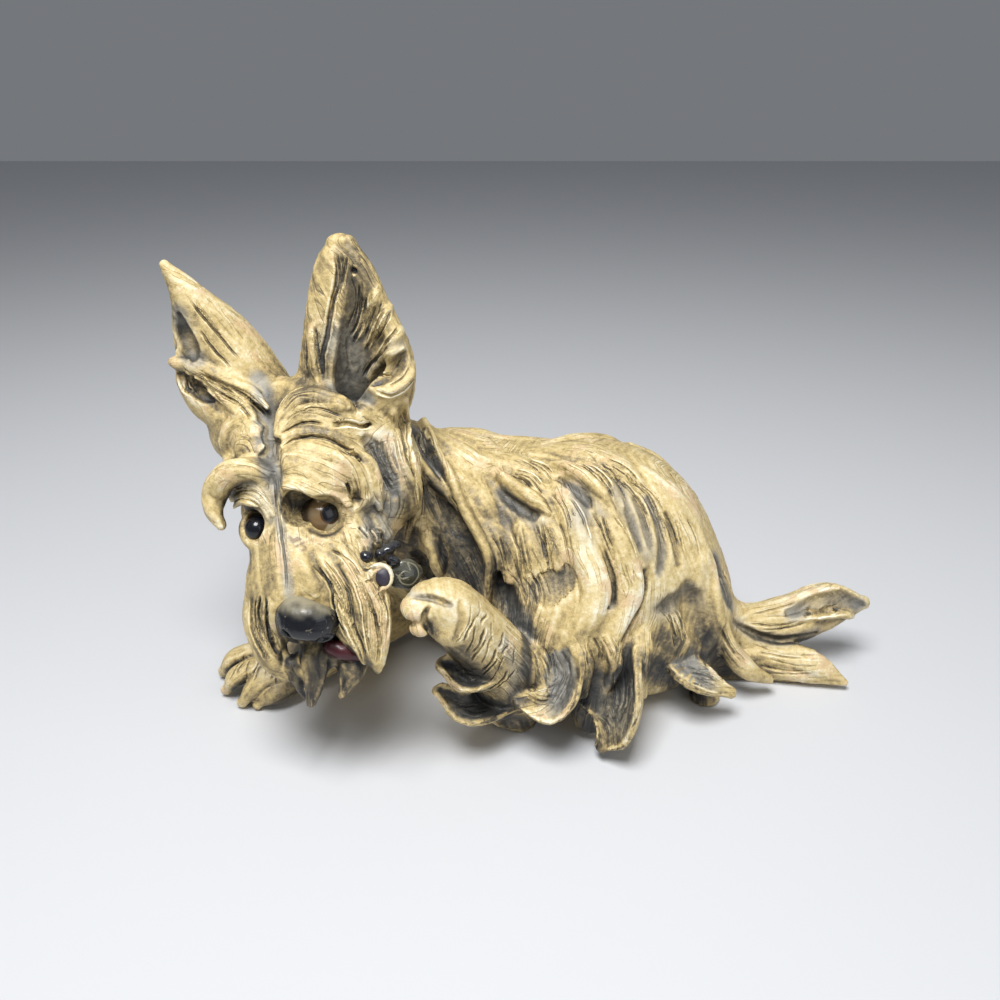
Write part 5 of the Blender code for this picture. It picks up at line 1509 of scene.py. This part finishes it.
def painted_resin():
    """Ochre, cream on the crests that is partly painted highlight, worn pink patches, the dark glaze in hollows and
    cut lines, and painted shade in the hollows and recesses.
    """
    paint = bpy.data.materials.new("painted_resin_casting")
    paint.use_nodes = True
    tree = paint.node_tree
    shader = tree.nodes["Principled BSDF"]
    read = {name: add(tree, "ShaderNodeAttribute", attribute_name=name)
            for name in ("hollow", "recess", "depth", "crest", "comb", "rake", "whole", "brush",
                         "nick0", "nick1", "strand")}
    where = add(tree, "ShaderNodeTexCoord").outputs["Object"]
    old = add(tree, "ShaderNodeGroup", {"Vector": where}, node_tree=old_paint)
    comb = read["comb"].outputs["Vector"]
    fine = add(tree, "ShaderNodeGroup", {"Comb": comb, "Spacing": 2.4, "Reach": 20.0, "Width": 0.04},
               node_tree=hair_lines)
    hollow, recess, depth, crest, whole = (
        read[k].outputs["Fac"] for k in ("hollow", "recess", "depth", "crest", "whole"))
    drift, blotch, speck, grain = (old.outputs[k] for k in ("Drift", "Blotch", "Speck", "Grain"))
    island = cloud(tree, where, 62 / (MM * 1000), 4.0, 0.6)
    layers = add(tree, "ShaderNodeSeparateXYZ", {0: read["brush"].outputs["Vector"]})
    glaze_and_shade, dust, worn = layers.outputs
    patch = maths(tree, "MULTIPLY", ramp(tree, drift, 0.47, 0.57), whole)
    raked = add(tree, "ShaderNodeSeparateXYZ", {0: read["rake"].outputs["Vector"]})
    place, bite = maths(tree, "FRACT", raked.outputs[0]), raked.outputs[2]
    tooth_cut = ramp(tree, maths(tree, "ABSOLUTE", maths(tree, "SUBTRACT", place, 0.5)), 0.08, 0.24, 1, 0)
    tooth_lip = ramp(tree, maths(tree, "ABSOLUTE", maths(tree, "SUBTRACT", place, 0.84)), 0.04, 0.16, 1, 0)
    cuts = maths(tree, "MULTIPLY", fine.outputs["Cut"], maths(tree, "MULTIPLY", patch, 0.5))
    cuts = maths(tree, "MAXIMUM", cuts, maths(tree, "MULTIPLY", tooth_cut, maths(tree, "MULTIPLY", bite, 1.6)))
    lips = maths(tree, "MULTIPLY", fine.outputs["Lip"], maths(tree, "MULTIPLY", patch, 0.5))
    lips = maths(tree, "MAXIMUM", lips, maths(tree, "MULTIPLY", tooth_lip, maths(tree, "MULTIPLY", bite, 1.6)))
    for name in ("nick0", "nick1"):
        parts = add(tree, "ShaderNodeSeparateXYZ", {0: read[name].outputs["Vector"]})
        off, force = maths(tree, "ABSOLUTE", parts.outputs[0]), parts.outputs[1]
        cuts = maths(tree, "MAXIMUM", cuts, maths(tree, "MULTIPLY", ramp(tree, off, 0.5, 1.3, 1, 0), force))
        rim = ramp(tree, maths(tree, "ABSOLUTE", maths(tree, "SUBTRACT", off, 1.9)), 0.1, 0.7, 1, 0)
        lips = maths(tree, "MAXIMUM", lips, maths(tree, "MULTIPLY", rim, force))
    wiped = ramp(tree, maths(tree, "SUBTRACT", crest, maths(tree, "MULTIPLY", hollow, 0.5)), 0.02, 0.5, 1, 0.42)
    thin = maths(tree, "MULTIPLY", glaze_and_shade, ramp(tree, read["strand"].outputs["Fac"], 0.3, 0.95, 1.12, 0.82))
    thin = maths(tree, "MULTIPLY", thin, wiped)
    dry = maths(tree, "MULTIPLY", ramp(tree, read["strand"].outputs["Fac"], 0.72, 0.98),
                maths(tree, "MULTIPLY", glaze_and_shade, ramp(tree, speck, 0.42, 0.56)))
    dust_and_sheen = maths(tree, "MULTIPLY", maths(tree, "MULTIPLY", dust, wiped), ramp(tree, speck, 0.2, 0.5, 0.7, 1))
    # Painted shade as well as glaze: the hollow, recess and depth measures darken the paint where the casting is
    # closed in, and the glaze layer adds its strokes.
    dark = 0.0
    for value, share in ((hollow, 0.29), (recess, 0.31), (depth, 0.25), (thin, 0.60), (cuts, 0.30)):
        dark = maths(tree, "ADD", dark, maths(tree, "MULTIPLY", value, share))
    dark = maths(tree, "DIVIDE", dark, maths(tree, "ADD", 1.0, maths(tree, "MULTIPLY", dark, 0.6)))
    tone = maths(tree, "SUBTRACT", 0.64, dark)
    # The crests turn towards cream, where the real paint was rubbed and also as a painted highlight on the ridges.
    for value, share in ((crest, 0.40), (dry, 0.08), (worn, 0.18), (lips, 0.20)):
        tone = maths(tree, "ADD", tone, maths(tree, "MULTIPLY", value, share))
    uneven = 0.0
    for value, share in ((drift, 0.34), (blotch, 0.29), (speck, 0.38), (grain, 0.24),
                         (fine.outputs["Strand"], 0.43)):
        uneven = maths(tree, "ADD", uneven, maths(tree, "MULTIPLY", maths(tree, "SUBTRACT", value, 0.5), share))
    even = maths(tree, "SUBTRACT", 1.0, maths(tree, "MULTIPLY", maths(tree, "MAXIMUM", thin, dust_and_sheen), 0.75))
    tone = maths(tree, "ADD", tone, maths(tree, "MULTIPLY", uneven, even))
    colour = tone_ramp(tree, tone)
    grey = add(tree, "ShaderNodeRGBToBW", {0: colour}).outputs[0]
    grey = maths(tree, "ADD", 0.05, maths(tree, "MULTIPLY", grey, 0.6))
    warm = maths(tree, "MULTIPLY", grey, 0.93)
    grey = mix(tree, 0.12, add(tree, "ShaderNodeCombineColor", {0: grey, 1: grey, 2: warm}).outputs[0], colour)
    colour = mix(tree, dust_and_sheen, colour, grey)
    bare = maths(tree, "MULTIPLY", ramp(tree, tone, 0.5, 0.62), ramp(tree, drift, 0.44, 0.5))
    edge = ramp(tree, maths(tree, "ABSOLUTE", maths(tree, "SUBTRACT", island, 0.555)), 0.003, 0.011, 1, 0)
    rosy = maths(tree, "MULTIPLY", maths(tree, "MULTIPLY", ramp(tree, island, 0.55, 0.56), bare), 0.6)
    colour = mix(tree, rosy, colour, ROSE)
    colour = mix(tree, maths(tree, "MULTIPLY", maths(tree, "MULTIPLY", edge, bare), 0.5), colour, CREAM)
    rusty = maths(tree, "MULTIPLY", ramp(tree, worn, 0.6, 1, 0, 0.75), ramp(tree, speck, 0.36, 0.62))
    colour = mix(tree, rusty, colour, RUST)
    tree.links.new(colour, shader.inputs["Base Color"])
    rough = maths(tree, "ADD", 0.36, maths(tree, "MULTIPLY", speck, 0.3))
    tree.links.new(rough, shader.inputs["Roughness"])
    height = maths(tree, "MULTIPLY", cuts, -0.8)
    height = maths(tree, "ADD", height, maths(tree, "MULTIPLY", blotch, 0.8))
    height = maths(tree, "ADD", height, maths(tree, "MULTIPLY", speck, 0.45))
    height = maths(tree, "ADD", height, maths(tree, "MULTIPLY", grain, 0.2))
    bump = add(tree, "ShaderNodeBump", {"Strength": 0.9, "Distance": 0.7 * MM, "Height": height})
    tree.links.new(bump.outputs[0], shader.inputs["Normal"])
    return paint


resin = painted_resin()
for part in (head, body):
    part.data.materials.clear()
    part.data.materials.append(resin)
    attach(part, "root")
    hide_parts("dog_figurine")

# %% [markdown]
# ## Eyes, nose, mouth and fly
# These parts of the casting were painted with gloss: dark eyes that squint at the fly, a black
# nose, a red lip, and the fly itself, a beaded body with one wing. Each is a small piece, so that
# it can have a paint of its own. The eyes are spheres made of six bulged grids, without poles.


# %% Small pieces
def ball(name, centre, radii, gaze, count=26):
    """A sphere from six grids spread by the tangent, with the angle from its gaze at each point."""
    line = np.tan(np.linspace(-1, 1, count + 1) * math.pi / 4)
    a, b = (side.ravel() for side in np.meshgrid(line, line, indexing="ij"))
    step = np.arange(count)
    corner = (step[:, None] * (count + 1) + step).ravel()
    quad = np.stack([corner, corner + count + 1, corner + count + 2, corner + 1], 1)
    points, faces = [], []
    for axis in range(3):
        for sign in (1, -1):
            faces.append((quad if sign > 0 else quad[:, ::-1]) + len(points) * len(a))
            points.append(np.roll(np.stack([sign + 0 * a, a, b], 1), axis, 1))
    points, index = np.unique(unit(np.vstack(points)).round(6), axis=0, return_inverse=True)
    made = put_mesh(name, centre + points * radii, index.ravel()[np.vstack(faces)])
    gaze = unit(gaze[0] * FACE_X + gaze[1] * FACE_Y + gaze[2] * FACE_Z)
    mark(made, "low", points @ unit(FACE_X - 0.8 * FACE_Y))
    mark(made, "gaze", np.degrees(np.arccos(np.clip(points @ gaze, -1, 1))))
    return made


def model(name, forms, lumps=0.0, nicks=()):
    """A small closed skin around a few forms, with lumps and painted lines."""
    low = np.min([form.low for form in forms], 0) - 4
    high = np.max([form.high for form in forms], 0) + 4
    clay = Clay(low, high)
    for form in forms:
        clay.press(form)
    clay.refine(forms)
    points, faces = surface_net(clay.dense(), clay.low, STEP)
    points = points + normals_of(points, faces) * (lumps * noise(points, 2.4, 4))[:, None]
    made = put_mesh(name, points, faces)
    side, force = cuts_at(points, list(nicks) * 2, 0)
    mark(made, "nick0", np.stack([side, force, 0 * side], 1))
    return made


# %% Gloss paints
def gloss(name, dark, light, coat=0.6, rough=0.2, dust=0.6):
    """Gloss paint that turns paler on top, from pale dust settled there and as a painted highlight, and has pale
    specks.
    """
    paint = bpy.data.materials.new(name)
    paint.use_nodes = True
    tree = paint.node_tree
    shader = tree.nodes["Principled BSDF"]
    where = add(tree, "ShaderNodeTexCoord").outputs["Object"]
    old = add(tree, "ShaderNodeGroup", {"Vector": where}, node_tree=old_paint)
    up = add(tree, "ShaderNodeSeparateXYZ", {0: add(tree, "ShaderNodeNewGeometry").outputs["Normal"]}).outputs[2]
    # Painted highlight and dust: faces that point up turn paler, as the top of the nose catches the light; dust sets
    # how strongly, and the specks are dust.
    dust_and_sheen = maths(tree, "MULTIPLY", ramp(tree, up, 0.45, 0.95), ramp(tree, old.outputs["Blotch"], 0.3, 0.6, 0.4, 1))
    dust_and_sheen = maths(tree, "MULTIPLY", dust_and_sheen, dust)
    dust_and_sheen = maths(tree, "MAXIMUM", dust_and_sheen, ramp(tree, old.outputs["Speck"], 0.66, 0.74, 0, 0.5))
    lines = add(tree, "ShaderNodeSeparateXYZ", {
        0: add(tree, "ShaderNodeAttribute", attribute_name="nick0").outputs["Vector"]})
    vein = maths(tree, "MULTIPLY", ramp(tree, maths(tree, "ABSOLUTE", lines.outputs[0]), 0.5, 1.2, 1, 0),
                 lines.outputs[1])
    tree.links.new(mix(tree, maths(tree, "MAXIMUM", dust_and_sheen, vein), dark, light), shader.inputs["Base Color"])
    tree.links.new(maths(tree, "ADD", rough, maths(tree, "MULTIPLY", dust_and_sheen, 0.3)), shader.inputs["Roughness"])
    shader.inputs["Coat Weight"].default_value = coat
    shader.inputs["Coat Roughness"].default_value = 0.12
    height = maths(tree, "ADD", maths(tree, "MULTIPLY", old.outputs["Speck"], 0.5), maths(tree, "MULTIPLY", vein, 0.5))
    bump = add(tree, "ShaderNodeBump", {"Strength": 0.6, "Distance": 0.4 * MM, "Height": height})
    tree.links.new(bump.outputs[0], shader.inputs["Normal"])
    return paint


def eye_gloss(name, pupil, white):
    """A black pupil of the given half-angle, a brown rim, and a stained eyeball that darkens towards the lids, as a
    painted outline and as painted shade, under gloss.
    """
    paint = bpy.data.materials.new(name)
    paint.use_nodes = True
    tree = paint.node_tree
    shader = tree.nodes["Principled BSDF"]
    where = add(tree, "ShaderNodeTexCoord").outputs["Object"]
    old = add(tree, "ShaderNodeGroup", {"Vector": where}, node_tree=old_paint)
    angle = add(tree, "ShaderNodeAttribute", attribute_name="gaze").outputs["Fac"]
    angle = maths(tree, "ADD", angle, maths(tree, "MULTIPLY", maths(tree, "SUBTRACT", old.outputs["Speck"], 0.5), 5))
    ball_tone = mix(tree, ramp(tree, old.outputs["Blotch"], 0.35, 0.6), white, (0.20, 0.12, 0.05))
    # Painted shade and a dark outline: the eyeball darkens far from the gaze, towards the lids that overhang it.
    ball_tone = mix(tree, ramp(tree, angle, pupil + 26, pupil + 48), ball_tone, (0.03, 0.02, 0.012))
    low = add(tree, "ShaderNodeAttribute", attribute_name="low").outputs["Fac"]
    ball_tone = mix(tree, ramp(tree, low, 0.36, 0.5), ball_tone, (0.62, 0.54, 0.36))
    rim = mix(tree, ramp(tree, angle, pupil + 3, pupil + 7), (0.06, 0.03, 0.015), ball_tone)
    colour = mix(tree, ramp(tree, angle, pupil - 2, pupil + 1), (0.006, 0.007, 0.010), rim)
    tree.links.new(colour, shader.inputs["Base Color"])
    shader.inputs["Roughness"].default_value = 0.2
    return paint


# %% The glossy pieces
near_eye = ball("near_eye", ahead(14.4, -0.8, -6.6), 8.3, (0.36, 0.03, 0.93))
far_eye = ball("far_eye", ahead(-10.8, -2.9, -9.6), 4.8, (0.15, 0.05, 0.98))
nose = model("nose", [
    Leaf([ahead(-1.6, -38.6, 3), ahead(0.5, -38.7, 6), ahead(4, -39.6, 7), ahead(7.5, -41, 6), ahead(9.4, -42.2, 3)],
         [6.3, 7.2, 7.4, 7, 5.6], [7, 8.2, 8.6, 8, 6], FACE_Z, power=2.9),
    Egg(ahead(0, -34, 3.5), (5, 4.5, 6), head=True, blend=4),
    Egg(ahead(-4.4, -43, 9), (2.2, 2.6, 3), head=True, blend=1.5, cut=True),
    Egg(ahead(8.5, -46.5, 10.5), (3, 2, 3), head=True, blend=1.5, cut=True),
], 0.12)
lip = model("lip", [
    Leaf([ahead(11, -51.5, 2), ahead(15.6, -53.6, 3), ahead(20, -56, 2)], [3, 3.6, 2.4], [3, 3.4, 2.4], FACE_Z)], 0.2)
fly = model("fly", [
    Egg(ahead(27.8, -18.7, 8), (2.5, 2.5, 2.5), head=True, blend=0.6),
    Egg(ahead(33.4, -18.4, 6), (2.3, 2, 2.6), head=True, blend=1),
    Egg(ahead(36.7, -17.2, 5), (2.6, 2.2, 2.8), head=True, blend=1),
    Egg(ahead(39.6, -16.4, 3.5), (2.4, 2, 2.6), head=True, blend=0.8),
    Egg(ahead(38.6, -22.2, 3), (2.6, 1.9, 2.8), head=True, blend=0.8),
    Leaf([ahead(33, -20.5, 6), ahead(36, -20.5, 5), ahead(38.6, -19.4, 3)], [0.8, 0.9, 0.8], [0.8, 0.9, 0.8], FACE_Z),
], 0.6)
fly_pupil = model("fly_pupil", [Egg(ahead(32.6, -27, 12), (3.2, 3.6, 2.2), head=True)], 0.45)


def wing_place(track):
    """Points of the wing's plane, for the veins drawn on it."""
    track = np.asarray(track, float)
    return np.array([ahead(a, b, 2.2) for a, b in track]), np.tile(FACE_Z, (len(track), 1))


veins = [line(wing_place, track, 0.34, 1.0) for track in (
    [(39, -24), (43, -23), (47, -25), (48, -29), (45, -32), (41, -31.5), (40, -28.5), (42.5, -26.5), (45, -28)],
    [(38.5, -27), (41, -29.5), (44, -29)], [(44, -23.5), (45, -27)])]
wing = model("fly_wing", [
    Leaf([ahead(37.5, -28.6, 1), ahead(42, -28, 1.5), ahead(46, -27.8, 0.5), ahead(49, -27.5, -1)], [4, 6, 5.5, 2.5],
         [1.6, 1.8, 1.6, 1.2], FACE_Z)], 0.1, veins)
nose_black = gloss("nose_gloss", (0.006, 0.007, 0.010), (0.30, 0.27, 0.19), 0.2, 0.26, 1.0)
for part, paint in (
        (near_eye, eye_gloss("near_eye_gloss", 25, (0.21, 0.155, 0.085))),
        (far_eye, eye_gloss("far_eye_gloss", 80, (0.30, 0.20, 0.09))),
        (nose, nose_black), (lip, gloss("lip_gloss", (0.055, 0.006, 0.010), (0.10, 0.03, 0.03), 0.1, 0.42, 0.1)),
        (fly, gloss("fly_gloss", (0.008, 0.009, 0.016), (0.30, 0.30, 0.28), 0.3, 0.16, 0.15)),
        (fly_pupil, gloss("fly_pupil_gloss", (0.03, 0.025, 0.04), (0.16, 0.15, 0.17), 0.1, 0.5)),
        (wing, gloss("wing_gloss", (0.028, 0.030, 0.022), (0.20, 0.19, 0.13), 0.6, 0.25))):
    part.data.materials.append(paint)
    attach(part, "root")
    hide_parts("dog_figurine")
print("glossy pieces: eyes, nose, lip, fly and its wing")

# %% [markdown]
# ## Floor, light and camera
# A pale floor without texture, one large soft light above and in front, a weaker one from the
# side, and the camera where the photographer stood: a little above the dog, looking down 27 degrees.


# %% Floor, light and camera
def floor():
    """A broad pale floor just under the figurine."""
    size = 2.5
    corners = np.array([(-size, -size, 0), (size, -size, 0), (size, size, 0), (-size, size, 0)]) / MM
    made = put_mesh("floor", corners - (0, 0, 0.3), np.array([[0, 1, 2, 3]]))
    plain = bpy.data.materials.new("floor_paper")
    plain.use_nodes = True
    plain.node_tree.nodes["Principled BSDF"].inputs["Base Color"].default_value = (0.62, 0.63, 0.65, 1)
    plain.node_tree.nodes["Principled BSDF"].inputs["Roughness"].default_value = 0.7
    made.data.materials.append(plain)


def soft_light(name, at, aim, size, power):
    """A square area light that points at a spot."""
    lamp = bpy.data.lights.new(name, "AREA")
    lamp.size, lamp.energy = size, power
    made = bpy.data.objects.new(name, lamp)
    bpy.context.collection.objects.link(made)
    made.location = at
    from mathutils import Vector
    made.rotation_euler = (Vector(aim) - Vector(at)).to_track_quat("-Z", "Y").to_euler()


floor()
soft_light("key", (-0.12, -0.36, 1.0), (0.01, 0, 0.06), 0.45, 13.5)
soft_light("fill", (0.9, -0.7, 0.6), (0, 0, 0.06), 0.8, 2.5)
sky = bpy.data.worlds.new("studio")
sky.use_nodes = True
sky.node_tree.nodes["Background"].inputs[0].default_value = (0.80, 0.84, 0.90, 1)
sky.node_tree.nodes["Background"].inputs[1].default_value = 0.22
bpy.context.scene.world = sky
bpy.context.scene.view_settings.view_transform = "Standard"
lens = bpy.data.cameras.new("camera")
lens.lens, lens.sensor_width = 30.6, 36
camera = bpy.data.objects.new("camera", lens)
camera.location = (0, -0.3475, 0.262)
camera.rotation_euler = (math.radians(63), 0, 0)
bpy.context.collection.objects.link(camera)
bpy.context.scene.camera = camera
